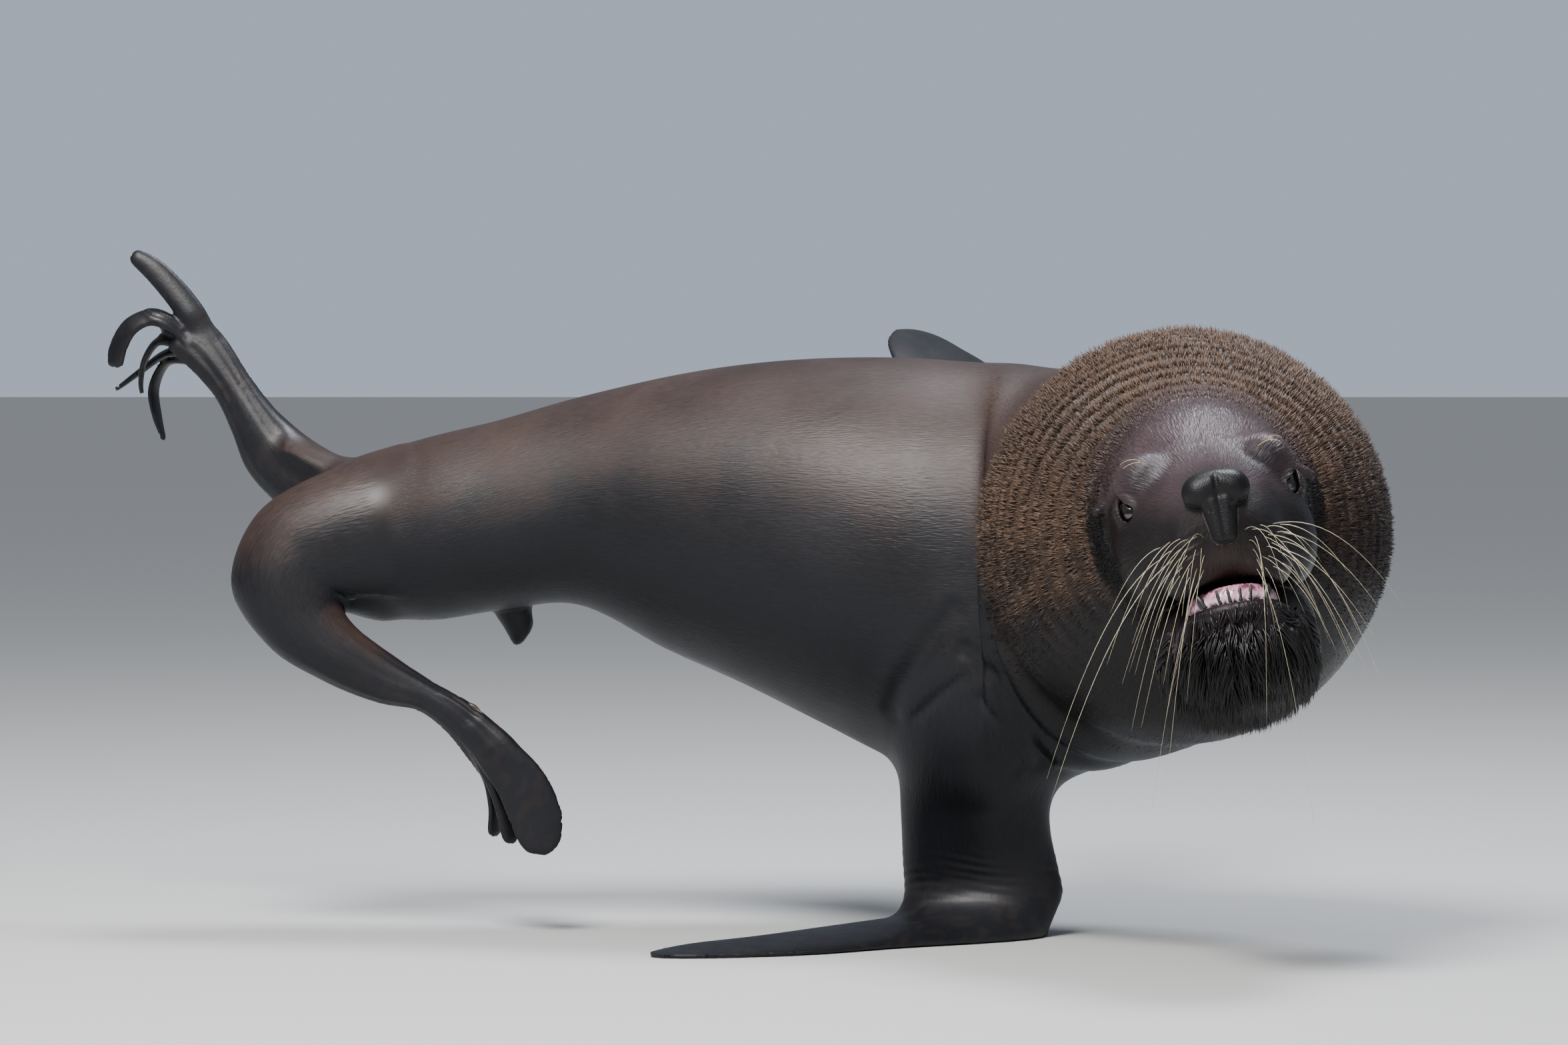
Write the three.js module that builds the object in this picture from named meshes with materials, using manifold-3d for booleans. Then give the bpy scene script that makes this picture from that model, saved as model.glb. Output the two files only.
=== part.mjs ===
// South American sea lion bull balancing on its right fore flipper, life size, in millimetres.
// +X is the way the trunk points, +Y the animal's left, +Z up. The origin lies on the floor under
// the right forearm, in the flat sole of the palm that carries the whole animal.
import * as THREE from 'three';
import { mergeVertices } from 'three/addons/utils/BufferGeometryUtils.js';
import Module from 'manifold-3d';

const wasm = await Module();
wasm.setup();

// ---------------------------------------------------------------- driving dimensions
const GAP = 0.4;               // clearance between neighbouring pieces
const FAR = 4000;              // half size of the boxes that stand for half-spaces

const CHEST_HALF_WIDTH = 255;
const CHEST_HALF_HEIGHT = 283;
const MANE_RADIUS = 281;       // widest ring of the ruff behind the head

const EYE_CENTRE = [282, -520, 607];   // point between the eyes, origin of the head's own frame
const HEAD_YAW = -1;           // degrees, nose swung towards +X
const HEAD_PITCH = 13;         // degrees, nose lifted
const HEAD_ROLL = 10;          // degrees, left side lifted
const EYE_RADIUS = 21;
const EYE_OFFSET = [96, -10, 13];       // left eye, in the head's frame (left, up, forward)
const EAR_OFFSET = [120, 28, -38];
const EAR_LENGTH = 36;

const SKIN_DARK = 0x2b2420;
const SKIN_BROWN = 0x4a352a;
const MANE_BROWN = 0x6b4a30;
const FLIPPER_BLACK = 0x1d1c20;
const NAIL_BROWN = 0x6a4a2c;
const GUM_PINK = 0xb07884;
const NOSE_BLACK = 0x1a1718;
const EYE_BLACK = 0x0c0a0a;

// ---------------------------------------------------------------- ring tables
// A row is [centre x, y, z,  wide half-axis x, y, z,  thick half-axis]. Rows run from root to tip.

// wide half-axis of a body ring that faces `heading` and leans over by `roll` (left side up)
function across(halfWidth, heading = 0, roll = 0) {
  const h = THREE.MathUtils.degToRad(heading);
  const r = THREE.MathUtils.degToRad(roll);
  return [-Math.sin(h) * Math.cos(r) * halfWidth, Math.cos(h) * Math.cos(r) * halfWidth,
    Math.sin(r) * halfWidth];
}

const BODY = [
  [-885, 158, 545, ...across(52, 0, 40), 50],
  [-850, 152, 531, ...across(103, 0, 40), 103],
  [-740, 132, 541, ...across(124, 0, 36), 129],
  [-640, 120, 560, ...across(132, 0, 30), 133],
  [-530, 110, 580, ...across(146, 0, 24), 144],
  [-411, 100, 564, ...across(180, 0, 18), 189],
  [-305, 88, 549, ...across(208, 0, 14), 221],
  [-199, 75, 527, ...across(235, 0, 10), 251],
  [-93, 60, 502, ...across(250, 0, 8), 277],
  [0, 40, 490, ...across(CHEST_HALF_WIDTH, 0, 6), CHEST_HALF_HEIGHT],
  [61, 15, 488, ...across(256, -13, 5), 283],
  [120, -21, 488, ...across(258, -28, 4), 277],
  [175, -67, 499, ...across(260, -42), 278],
  [221, -122, 512, ...across(261, -57), 276],
  [253, -184, 527, ...across(263, -71), 273],
  [270, -245, 542, ...across(MANE_RADIUS, -82), MANE_RADIUS],
  [272, -318, 548, ...across(260, -87), 260],
  [274, -372, 553, ...across(219, -90), 219],
  [273, -412, 556, ...across(170, -90), 170],
  [274, -442, 559, ...across(118, -90), 118],
];
const NECK_FOLD = { at: [52, 14, 490], along: [0.97, -0.24, 0], reach: FAR };

const RIGHT_ARM = [
  [20, -40, 470, 100, 0, 0, 100],
  [16, -66, 400, 112, 0, 0, 124],
  [8, -66, 330, 104, 0, 0, 122],
  [0, -50, 265, 99, 0, 0, 102],
  [0, -25, 200, 100, 0, 0, 78],
  [4, -8, 140, 101, 0, 0, 62],
  [11, 0, 92, 105, -4, 0, 54],
  [16, 0, 55, 106, -10, 0, 50],
  [10, -2, 26, 93, -14, 0, 46],
  [3, -4, 8, 70, -14, 0, 38],
];
const RIGHT_SHOULDER_CUT = { at: [0, -40, 250], along: [0, 0, -1], reach: 300 };

// the palm lies on the floor, fingers pointing back and outwards
const PALM_CHORD = [0.486, -0.874];
function palmRing(x, y, halfChord, height) {
  const thick = height / 1.3;
  return [x, y, 0.3 * thick, PALM_CHORD[0] * halfChord, PALM_CHORD[1] * halfChord, 0, thick];
}
const RIGHT_HAND = [
  palmRing(86, 40, 28, 26),
  palmRing(72, 24, 58, 40),
  palmRing(30, -4, 86, 46),
  palmRing(-39, -47, 96, 36),
  palmRing(-149, -103, 104, 23),
  palmRing(-250, -188, 98, 16),
  palmRing(-342, -250, 80, 12),
  palmRing(-404, -298, 44, 8),
  palmRing(-430, -318, 12, 5),
];
const RIGHT_WRIST_CUT = { at: [0, 0, 62], along: [0, 0, -1], reach: 400 };

const LEFT_ARM = [
  [25, 120, 530, 90, 0, 0, 90],
  [24, 220, 560, 106, 0, 0, 84],
  [24, 300, 590, 106, 8, -6, 60],
  [24, 370, 620, 102, 16, -14, 42],
  [20, 435, 650, 100, 24, -22, 30],
  [14, 510, 692, 98, 32, -26, 21],
  [-6, 590, 738, 90, 38, -26, 15],
  [-26, 655, 771, 78, 36, -21, 12],
  [-41, 706, 791, 54, 25, -16, 9],
  [-52, 736, 801, 34, 16, -8, 7],
  [-58, 751, 805, 14, 7, -3, 5],
];
const LEFT_SHOULDER_CUT = { at: [24, 300, 590], along: [0, 0.92, 0.38], reach: 300 };
const LEFT_WRIST_CUT = { at: [18, 448, 657], along: [-0.12, 0.87, 0.46], reach: 300 };

const RIGHT_LEG = [
  [-770, 115, 545, 0, -10, 100, 80],
  [-840, 100, 528, -30, -10, 94, 80],
  [-903, 88, 500, -62, 0, 65, 70],
  [-923, 74, 458, -77, 0, 10, 60],
  [-899, 62, 412, -50, 0, -27, 46],
  [-850, 54, 374, -24, 0, -36, 35],
  [-790, 48, 342, -13, 0, -32, 25],
  [-735, 42, 319, -11, 0, -20, 19],
  [-690, 36, 291, -19, 4, -18, 16],
  [-652, 30, 251, -26, 8, -16, 13],
  [-632, 28, 220, -26, 10, -11, 9],
];
const RIGHT_HIP_CUT = { at: [-868, 92, 515], along: [-0.9, -0.1, -0.42], reach: 120 };
const RIGHT_ANKLE_CUT = { at: [-872, 58, 386], along: [0.72, 0, -0.69], reach: 200 };

// toes of the right foot, first to fifth: the first is the broad paddle nearest the belly
const RIGHT_TOES = [
  [
    [-676, 24, 286, 16, 0, 18, 11],
    [-640, 18, 246, 22, 0, 18, 10],
    [-606, 12, 205, 31, 0, 15, 8],
    [-587, 8, 162, 37, 0, 4, 7],
    [-582, 6, 128, 30, 0, -2, 6],
    [-584, 6, 106, 13, 0, -2, 4],
  ],
  [
    [-660, 36, 250, 14, 10, 10, 9],
    [-640, 36, 208, 13, 12, 6, 8],
    [-627, 34, 168, 13, 11, 3, 7],
    [-621, 32, 134, 12, 9, 0, 6],
    [-620, 31, 118, 6, 5, 0, 4],
  ],
  [
    [-678, 42, 270, 8, 14, 6, 10],
    [-660, 58, 238, 8, 16, 6, 9],
    [-648, 62, 204, 7, 16, 3, 8],
    [-643, 62, 166, 6, 14, 0, 7],
    [-643, 60, 138, 8, 12, 0, 6],
    [-643, 58, 126, 5, 6, 0, 4],
  ],
  [
    [-678, 44, 272, 8, 14, 6, 10],
    [-652, 76, 242, 6, 17, 4, 9],
    [-636, 88, 206, 6, 16, 2, 8],
    [-628, 92, 168, 6, 14, 0, 7],
    [-626, 90, 140, 7, 10, 0, 6],
    [-626, 88, 128, 4, 5, 0, 4],
  ],
  [
    [-684, 46, 282, 10, 14, 6, 11],
    [-654, 92, 252, 12, 17, 6, 9],
    [-626, 114, 212, 14, 16, 4, 8],
    [-612, 120, 168, 16, 14, 0, 7],
    [-608, 118, 134, 14, 12, 0, 6],
    [-608, 116, 118, 7, 6, 0, 4],
  ],
];

const LEFT_LEG = [
  [-800, 172, 570, 60, 0, 50, 60],
  [-868, 196, 586, 44, 0, 40, 58],
  [-920, 208, 617, 37, 0, 35, 42],
  [-956, 214, 650, 34, 0, 29, 30],
  [-982, 220, 690, 28, 0, 19, 23],
  [-1010, 228, 735, 24, 2, 15, 17],
  [-1048, 236, 784, 26, 6, 20, 13],
  [-1078, 242, 808, 24, 8, 22, 9],
];
const LEFT_HIP_CUT = { at: [-880, 198, 598], along: [-0.86, 0.12, 0.5], reach: 160 };
const LEFT_ANKLE_CUT = { at: [-968, 217, 668], along: [-0.5, 0.12, 0.86], reach: 120 };

// toes of the left foot, first to fifth: the first continues the leading edge
const LEFT_TOES = [
  [
    [-1034, 234, 790, 17, 4, 12, 10],
    [-1062, 240, 828, 16, 4, 11, 10],
    [-1089, 246, 863, 14, 4, 12, 8],
    [-1118, 252, 893, 10, 3, 13, 7],
    [-1142, 256, 910, 5, 2, 11, 6],
    [-1153, 258, 914, 2, 1, 6, 4],
  ],
  [
    [-1064, 232, 792, 6, 9, 14, 8],
    [-1090, 234, 818, -1, 9, 14, 7],
    [-1120, 236, 829, -2, 9, 12, 6],
    [-1150, 238, 816, -9, 9, 9, 6],
    [-1167, 240, 787, -13, 9, 3, 6],
    [-1172, 241, 758, -11, 6, 1, 5],
  ],
  [
    [-1044, 238, 778, 6, 12, 8, 9],
    [-1072, 254, 788, 2, 16, 6, 8],
    [-1098, 262, 796, 0, 16, 4, 7],
    [-1118, 268, 793, 0, 15, 2, 6],
    [-1134, 270, 768, 0, 14, 0, 5],
    [-1139, 270, 738, 0, 10, 0, 4],
    [-1136, 270, 716, 0, 4, 0, 3],
  ],
  [
    [-1036, 236, 766, 8, 12, 8, 9],
    [-1062, 268, 779, 2, 16, 6, 8],
    [-1086, 286, 783, 0, 16, 4, 7],
    [-1112, 300, 776, 0, 15, 2, 6],
    [-1144, 306, 753, 0, 13, 0, 5],
    [-1168, 306, 735, 0, 9, 0, 4],
    [-1183, 306, 725, 0, 4, 0, 3],
  ],
  [
    [-1024, 234, 748, 8, 12, 8, 9],
    [-1052, 276, 765, 2, 15, 6, 8],
    [-1078, 306, 771, 2, 16, 3, 7],
    [-1110, 326, 764, 3, 16, 0, 6],
    [-1127, 334, 730, 5, 15, 0, 6],
    [-1123, 336, 692, 5, 12, 0, 5],
    [-1112, 336, 654, 2, 5, 0, 3],
  ],
];

const TAIL = [
  [-820, 150, 600, 0, 22, 8, 22],
  [-870, 162, 622, 0, 24, 8, 18],
  [-905, 172, 638, 0, 20, 6, 12],
  [-932, 180, 650, 0, 11, 3, 6],
];
const SHEATH = [
  [-622, 150, 470, 30, 0, 0, 26],
  [-622, 154, 432, 28, 0, 0, 22],
  [-615, 156, 408, 22, 0, 0, 16],
  [-615, 157, 390, 12, 0, 0, 9],
  [-618, 157, 378, 4, 0, 0, 4],
];

// head, in its own frame: x to the left, y up, z forwards
const SKULL = [
  [0, -20, -190, 112, 0, 0, 118],
  [0, -8, -140, 138, 0, 0, 146],
  [0, -4, -90, 136, 0, 0, 150],
  [0, -6, -50, 130, 0, 0, 141],
  [0, -18, -10, 119, 0, 0, 122],
  [0, -34, 30, 104, 0, 0, 103],
  [0, -52, 70, 88, 0, 0, 86],
  [0, -66, 105, 78, 0, 0, 72],
  [0, -74, 135, 66, 0, 0, 62],
  [0, -77, 152, 48, 0, 0, 48],
  [0, -78, 160, 26, 0, 0, 28],
];
// chin and throat with the beard that hangs from them
const JAW = [
  [5, -165, -110, 120, 0, 0, 95],
  [5, -192, -60, 125, 0, 0, 100],
  [5, -212, -10, 122, 0, 0, 97],
  [5, -226, 36, 115, 0, 0, 93],
  [5, -238, 76, 101, 0, 0, 78],
  [5, -240, 108, 80, 0, 0, 62],
  [5, -238, 130, 50, 0, 0, 44],
  [5, -236, 141, 24, 0, 0, 24],
];
const MUZZLE_PAD = { radius: 44, at: [37, -96, 104], scale: [1, 0.98, 1] };
const BROW = { radius: 40, at: [68, 12, 14], scale: [1, 1.1, 0.95] };
const NOSE_LOBE = { radius: 23, at: [20, -29, 148], scale: [1, 1, 0.95] };
const NOSE_BRIDGE = { radius: 24, at: [0, -27, 149], scale: [1, 0.92, 0.95] };
const PHILTRUM = { radius: 22, at: [0, -66, 146], scale: [1.1, 1.5, 0.95] };
const EAR = [
  [-28, 2, 6, 0, 13, 0, 12],
  [0, 0, 2, 0, 12, 0, 11],
  [0.45 * EAR_LENGTH, -6, -4, 0, 9, 0, 7],
  [0.75 * EAR_LENGTH, -12, -9, 0, 3, 0, 3],
];
// half of the dental arch: width and depth of its ellipse, and where it is centred
const ARCH = { halfWidth: 50, depth: 60, at: [0, -160, 64] };
const LOWER_LIP = { halfWidth: 60, depth: 70, at: [0, -177, 62], radius: 14 };
const INCISORS = [-17, -6, 6, 17];
const INCISOR = { radius: 3.5, height: 20 };
const CANINE_X = 35;
const CANINE = { radius: 7.5, height: 24 };

// web between the smaller toes of the left foot
const LEFT_WEB = [
  [-1044, 233, 770, -20, -1, 22, 9],
  [-1071, 255, 791, -19, -21, 26, 8],
  [-1094, 266, 799, -18, -30, 27, 6],
  [-1108, 268, 806, -12, -20, 20, 3],
];

// nails, set back from the tips of the three middle toes
const NAIL_RADIUS = 4.5;
const NAILS = {
  nail_right_2: { root: [-677, 28, 310], tip: [-656, 24, 296] },
  nail_right_3: { root: [-651, 55, 234], tip: [-644, 58, 210] },
  nail_right_4: { root: [-642, 76, 237], tip: [-633, 83, 212] },
  nail_left_2: { root: [-1095, 244, 820], tip: [-1117, 241, 823] },
  nail_left_3: { root: [-1078, 260, 784], tip: [-1097, 265, 791] },
  nail_left_4: { root: [-1067, 275, 772], tip: [-1084, 289, 776] },
};

// ---------------------------------------------------------------- solids
// closed body swept through a ring table; the rings are ellipses
function sweep(rows, { around = 20, perRow = 2, fan = false, grow = 0 } = {}) {
  const axis = (i) => new THREE.CatmullRomCurve3(
    rows.map((row) => new THREE.Vector3(row[i], row[i + 1] ?? 0, row[i + 2] ?? 0)), false, 'catmullrom');
  const centres = axis(0);
  const wides = axis(3);
  const thicks = axis(6);
  const last = (rows.length - 1) * perRow;
  const positions = [];
  for (let i = 0; i <= last; i++) {
    const t = i / last;
    const centre = centres.getPoint(t);
    const wide = wides.getPoint(t);
    const wideDir = wide.clone().normalize();
    const along = fan
      ? new THREE.Vector3().crossVectors(wide, new THREE.Vector3(0, 0, 1))
      : centres.getTangent(t);
    along.addScaledVector(wideDir, -along.dot(wideDir)).normalize();
    const thickDir = new THREE.Vector3().crossVectors(along, wideDir);
    const a = wide.length() + grow;
    const b = thicks.getPoint(t).x + grow;
    if (i === 0) centre.addScaledVector(along, -grow);
    if (i === last) centre.addScaledVector(along, grow);
    for (let j = 0; j < around; j++) {
      const angle = (2 * Math.PI * j) / around;
      const p = centre.clone().addScaledVector(wideDir, a * Math.cos(angle))
        .addScaledVector(thickDir, b * Math.sin(angle));
      positions.push(p.x, p.y, p.z);
    }
  }
  const index = [];
  for (let i = 0; i < last; i++) {
    for (let j = 0; j < around; j++) {
      const k = (j + 1) % around;
      const [p, q, r, s] = [i * around + j, i * around + k, (i + 1) * around + j, (i + 1) * around + k];
      index.push(p, q, s, p, s, r);
    }
  }
  for (let j = 1; j < around - 1; j++) {
    index.push(0, j + 1, j);
    index.push(last * around, last * around + j, last * around + j + 1);
  }
  const geometry = new THREE.BufferGeometry();
  geometry.setAttribute('position', new THREE.Float32BufferAttribute(positions, 3));
  geometry.setIndex(index);
  return solid(geometry);
}

function solid(geometry, matrix = null) {
  const bare = geometry.clone();
  bare.deleteAttribute('normal');
  bare.deleteAttribute('uv');
  if (matrix) bare.applyMatrix4(matrix);
  const merged = mergeVertices(bare, 1e-4);
  return new wasm.Manifold(new wasm.Mesh({
    numProp: 3,
    vertProperties: new Float32Array(merged.attributes.position.array),
    triVerts: new Uint32Array(merged.index.array),
  }));
}

// box on the root side of a cut, its face `offset` short of the plane
function rootBox({ at, along, reach }, offset = 0) {
  const n = new THREE.Vector3(...along).normalize();
  const turn = new THREE.Quaternion().setFromUnitVectors(new THREE.Vector3(0, 0, 1), n);
  const centre = new THREE.Vector3(...at).addScaledVector(n, -reach - offset);
  return solid(new THREE.BoxGeometry(2 * reach, 2 * reach, 2 * reach),
    new THREE.Matrix4().compose(centre, turn, new THREE.Vector3(1, 1, 1)));
}

// one body cut in two, [root part, far part], with the gap between them
const split = (body, cut) => [body.intersect(rootBox(cut, GAP / 2)), body.subtract(rootBox(cut, -GAP / 2))];

// a limb in three: the root that belongs to the trunk, the rest, and the room the rest needs
function limb(rows, cut, options) {
  const [root, outer] = split(sweep(rows, options), cut);
  const room = sweep(rows, { ...options, grow: GAP }).subtract(rootBox(cut, GAP / 2));
  return { root, outer, room };
}

// ---------------------------------------------------------------- head frame
const headTurn = new THREE.Matrix4();
{
  const rad = THREE.MathUtils.degToRad;
  const forward = new THREE.Vector3(Math.sin(rad(HEAD_YAW)) * Math.cos(rad(HEAD_PITCH)),
    -Math.cos(rad(HEAD_YAW)) * Math.cos(rad(HEAD_PITCH)), Math.sin(rad(HEAD_PITCH)));
  const level = new THREE.Vector3(Math.cos(rad(HEAD_YAW)), Math.sin(rad(HEAD_YAW)), 0);
  const left = level.clone().applyAxisAngle(forward, rad(HEAD_ROLL));
  const up = new THREE.Vector3().crossVectors(forward, left);
  headTurn.makeBasis(left, up, forward).setPosition(...EYE_CENTRE);
}

// ---------------------------------------------------------------- sub-parts
const BODY_RINGS = { around: 26, perRow: 1, fan: true };
const HEAD_RINGS = { around: 18, perRow: 1 };
const ARM_RINGS = { around: 14, perRow: 1 };
const LEG_RINGS = { around: 11, perRow: 2 };
const SMALL_RINGS = { around: 8, perRow: 1 };
const TOE_RINGS = { around: 6, perRow: 1 };

const placed = (body) => body.transform(headTurn.elements);
const mirrored = ([x, y, z], sign) => [sign * x, y, z];

// ellipsoid of a table entry, on the left (sign 1) or right (sign -1)
function ball({ radius, at, scale = [1, 1, 1] }, sign = 1, grow = 0, detail = 9) {
  const size = new THREE.Vector3(...scale).multiplyScalar(radius).addScalar(grow);
  const matrix = new THREE.Matrix4().compose(new THREE.Vector3(...mirrored(at, sign)),
    new THREE.Quaternion(), size);
  return solid(new THREE.SphereGeometry(1, detail, Math.round(detail * 0.7)), matrix);
}

const eye = (sign, grow = 0) => ball({ radius: EYE_RADIUS, at: EYE_OFFSET }, sign, grow, 10);

function nose(grow = 0) {
  return ball(NOSE_LOBE, 1, grow).add(ball(NOSE_LOBE, -1, grow)).add(ball(NOSE_BRIDGE, 1, grow))
    .add(ball(PHILTRUM, 1, grow));
}

function skull(grow = 0) {
  let body = sweep(SKULL, { ...HEAD_RINGS, grow });
  for (const sign of [1, -1]) body = body.add(ball(MUZZLE_PAD, sign, grow)).add(ball(BROW, sign, grow));
  return body;
}

function ear(sign, grow = 0) {
  const [ex, ey, ez] = EAR_OFFSET;
  const rows = EAR.map(([x, y, z, ...axes]) => [sign * (ex + x), ey + y, ez + z, ...axes]);
  return sweep(rows, { around: 8, perRow: 2, grow });
}

// rows of a half-ellipse in the plane of the lips
function archRows({ halfWidth, depth, at }, radius, reach = 80, steps = 8) {
  return Array.from({ length: steps + 1 }, (_, i) => {
    const angle = THREE.MathUtils.degToRad(-reach + (2 * reach * i) / steps);
    const [sin, cos] = [Math.sin(angle), Math.cos(angle)];
    return [halfWidth * sin, at[1] + 6 * cos - 4, at[2] + depth * cos, radius * sin, 0, radius * cos, radius];
  });
}

function cone(radius, root, tip, sides = 6) {
  const from = new THREE.Vector3(...root);
  const to = new THREE.Vector3(...tip);
  const turn = new THREE.Quaternion().setFromUnitVectors(new THREE.Vector3(0, 1, 0),
    to.clone().sub(from).normalize());
  return solid(new THREE.ConeGeometry(radius, from.distanceTo(to), sides),
    new THREE.Matrix4().compose(from.add(to).multiplyScalar(0.5), turn, new THREE.Vector3(1, 1, 1)));
}

// pink gum of the lower jaw with its pegs of teeth
function gum(grow = 0) {
  const radius = 9 + grow;
  let body = sweep(archRows(ARCH, radius), { around: 8, perRow: 1, grow: 0 });
  const tooth = (x, { radius: size, height }) => {
    const z = ARCH.at[2] + ARCH.depth * Math.sqrt(1 - (x / ARCH.halfWidth) ** 2);
    return cone(size + grow, [x, ARCH.at[1], z], [x, ARCH.at[1] + height, z]);
  };
  for (const x of INCISORS) body = body.add(tooth(x, INCISOR));
  for (const sign of [1, -1]) body = body.add(tooth(sign * CANINE_X, CANINE));
  return body;
}

function jaw() {
  const lip = sweep(archRows(LOWER_LIP, LOWER_LIP.radius), { around: 8, perRow: 1 });
  return sweep(JAW, HEAD_RINGS).add(lip).subtract(gum(GAP)).subtract(skull(GAP));
}

const foot = (root, toes) => toes.reduce((body, rows) => body.add(sweep(rows, TOE_RINGS)), root);

// ---------------------------------------------------------------- the animal
const sealion = new THREE.Group();

function add(name, body, color, roughness = 0.5) {
  const { vertProperties, triVerts } = body.getMesh();
  const geometry = new THREE.BufferGeometry();
  geometry.setAttribute('position', new THREE.BufferAttribute(new Float32Array(vertProperties), 3));
  geometry.setIndex(new THREE.BufferAttribute(new Uint32Array(triVerts), 1));
  geometry.computeVertexNormals();
  const mesh = new THREE.Mesh(geometry, new THREE.MeshStandardMaterial({ color, roughness, metalness: 0 }));
  mesh.name = name;
  sealion.add(mesh);
}

const bodyRoom = sweep(BODY, { ...BODY_RINGS, grow: GAP });
const [trunkRoom, neckRoom] = split(bodyRoom, NECK_FOLD);
const limbs = {
  rightArm: limb(RIGHT_ARM, RIGHT_SHOULDER_CUT, ARM_RINGS),
  leftArm: limb(LEFT_ARM, LEFT_SHOULDER_CUT, ARM_RINGS),
  rightLeg: limb(RIGHT_LEG, RIGHT_HIP_CUT, LEG_RINGS),
  leftLeg: limb(LEFT_LEG, LEFT_HIP_CUT, LEG_RINGS),
};
let [trunk, neck] = split(sweep(BODY, BODY_RINGS), NECK_FOLD);
for (const { root } of Object.values(limbs)) trunk = trunk.add(root);
for (const { room } of Object.values(limbs)) trunk = trunk.subtract(room);
for (const rows of [RIGHT_ARM, LEFT_ARM]) neck = neck.subtract(sweep(rows, { ...ARM_RINGS, grow: GAP }));
add('trunk', trunk, SKIN_BROWN);
add('neck', neck, MANE_BROWN, 0.8);

// right fore flipper, carrying the animal
const belowFloor = rootBox({ at: [0, 0, 0], along: [0, 0, 1], reach: 1000 });
const [rightForearm, rightWrist] = split(limbs.rightArm.outer, RIGHT_WRIST_CUT);
const rightPalm = split(sweep(RIGHT_HAND, ARM_RINGS), RIGHT_WRIST_CUT)[1];
add('forearm_right', rightForearm, SKIN_DARK);
add('hand_right', rightPalm.add(rightWrist).subtract(belowFloor), FLIPPER_BLACK);

// left fore flipper, held up and out
const [leftForearm, leftHand] = split(limbs.leftArm.outer, LEFT_WRIST_CUT);
add('forearm_left', leftForearm, SKIN_DARK);
add('hand_left', leftHand, FLIPPER_BLACK);

// hind flippers
const nails = Object.entries(NAILS).map(([name, { root, tip }]) => ({
  name, body: cone(NAIL_RADIUS, root, tip), room: cone(NAIL_RADIUS + GAP, root, tip),
}));
const clearOfNails = (body) => nails.reduce((rest, { room }) => rest.subtract(room), body);
const [rightShank, rightFan] = split(limbs.rightLeg.outer, RIGHT_ANKLE_CUT);
const [leftShank, leftFan] = split(limbs.leftLeg.outer.subtract(limbs.rightLeg.room), LEFT_ANKLE_CUT);
add('shank_right', rightShank, SKIN_DARK);
add('foot_right', clearOfNails(foot(rightFan, RIGHT_TOES)), FLIPPER_BLACK);
add('shank_left', leftShank, SKIN_DARK);
const leftWeb = sweep(LEFT_WEB, TOE_RINGS);
add('foot_left', clearOfNails(foot(leftFan.add(leftWeb), LEFT_TOES)), FLIPPER_BLACK);
for (const { name, body } of nails) add(name, body, NAIL_BROWN, 0.4);

// tail and sheath, fitted to the trunk
const legRoom = [RIGHT_LEG, LEFT_LEG].map((rows) => sweep(rows, { ...LEG_RINGS, grow: GAP }));
const tail = sweep(TAIL, SMALL_RINGS).subtract(trunkRoom);
add('tail', legRoom.reduce((rest, room) => rest.subtract(room), tail), SKIN_DARK);
add('sheath', sweep(SHEATH, SMALL_RINGS).subtract(trunkRoom), SKIN_DARK);

// head
const skullRoom = placed(skull(GAP));
const hollowed = skull().subtract(nose(GAP)).subtract(gum(GAP)).subtract(eye(1, GAP)).subtract(eye(-1, GAP));
add('head', placed(hollowed).subtract(neckRoom), SKIN_BROWN);
add('jaw', placed(jaw()).subtract(neckRoom), SKIN_DARK);
add('gum', placed(gum()), GUM_PINK, 0.35);
add('nose', placed(nose()), NOSE_BLACK, 0.35);
for (const [side, sign] of [['left', 1], ['right', -1]]) {
  add(`eye_${side}`, placed(eye(sign)), EYE_BLACK, 0.05);
  add(`ear_${side}`, placed(ear(sign)).subtract(neckRoom).subtract(skullRoom), SKIN_DARK);
}

export default sealion;
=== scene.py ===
"""Looks of the sea lion: one skin, its coat of tufts, whiskers, eyes, gum and nails, in metres.

The ring tables repeat the part's own, in millimetres, so that the skin lies inside its solids.
"""
import math
import bpy
import numpy as np
from mathutils import Matrix, Vector


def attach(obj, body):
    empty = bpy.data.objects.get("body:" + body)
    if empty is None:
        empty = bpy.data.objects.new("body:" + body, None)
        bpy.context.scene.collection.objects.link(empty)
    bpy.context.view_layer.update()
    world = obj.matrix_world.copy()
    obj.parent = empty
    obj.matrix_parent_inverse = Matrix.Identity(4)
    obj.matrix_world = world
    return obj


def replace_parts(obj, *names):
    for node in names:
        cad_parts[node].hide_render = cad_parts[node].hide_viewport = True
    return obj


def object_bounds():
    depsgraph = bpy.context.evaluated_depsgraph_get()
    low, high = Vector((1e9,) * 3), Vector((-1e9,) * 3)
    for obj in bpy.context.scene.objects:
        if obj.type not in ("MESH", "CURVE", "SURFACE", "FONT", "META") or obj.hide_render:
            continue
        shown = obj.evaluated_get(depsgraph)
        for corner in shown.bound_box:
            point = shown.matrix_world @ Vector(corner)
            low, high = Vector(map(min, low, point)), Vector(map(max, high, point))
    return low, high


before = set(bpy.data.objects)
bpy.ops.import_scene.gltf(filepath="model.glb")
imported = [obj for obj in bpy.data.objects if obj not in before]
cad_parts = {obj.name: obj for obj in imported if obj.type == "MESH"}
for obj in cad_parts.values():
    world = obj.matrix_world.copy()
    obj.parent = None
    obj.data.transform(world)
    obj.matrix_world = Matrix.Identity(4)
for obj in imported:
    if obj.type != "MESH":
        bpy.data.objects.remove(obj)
cad_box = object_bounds()
random = np.random.default_rng(7)

MM = 0.001

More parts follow.
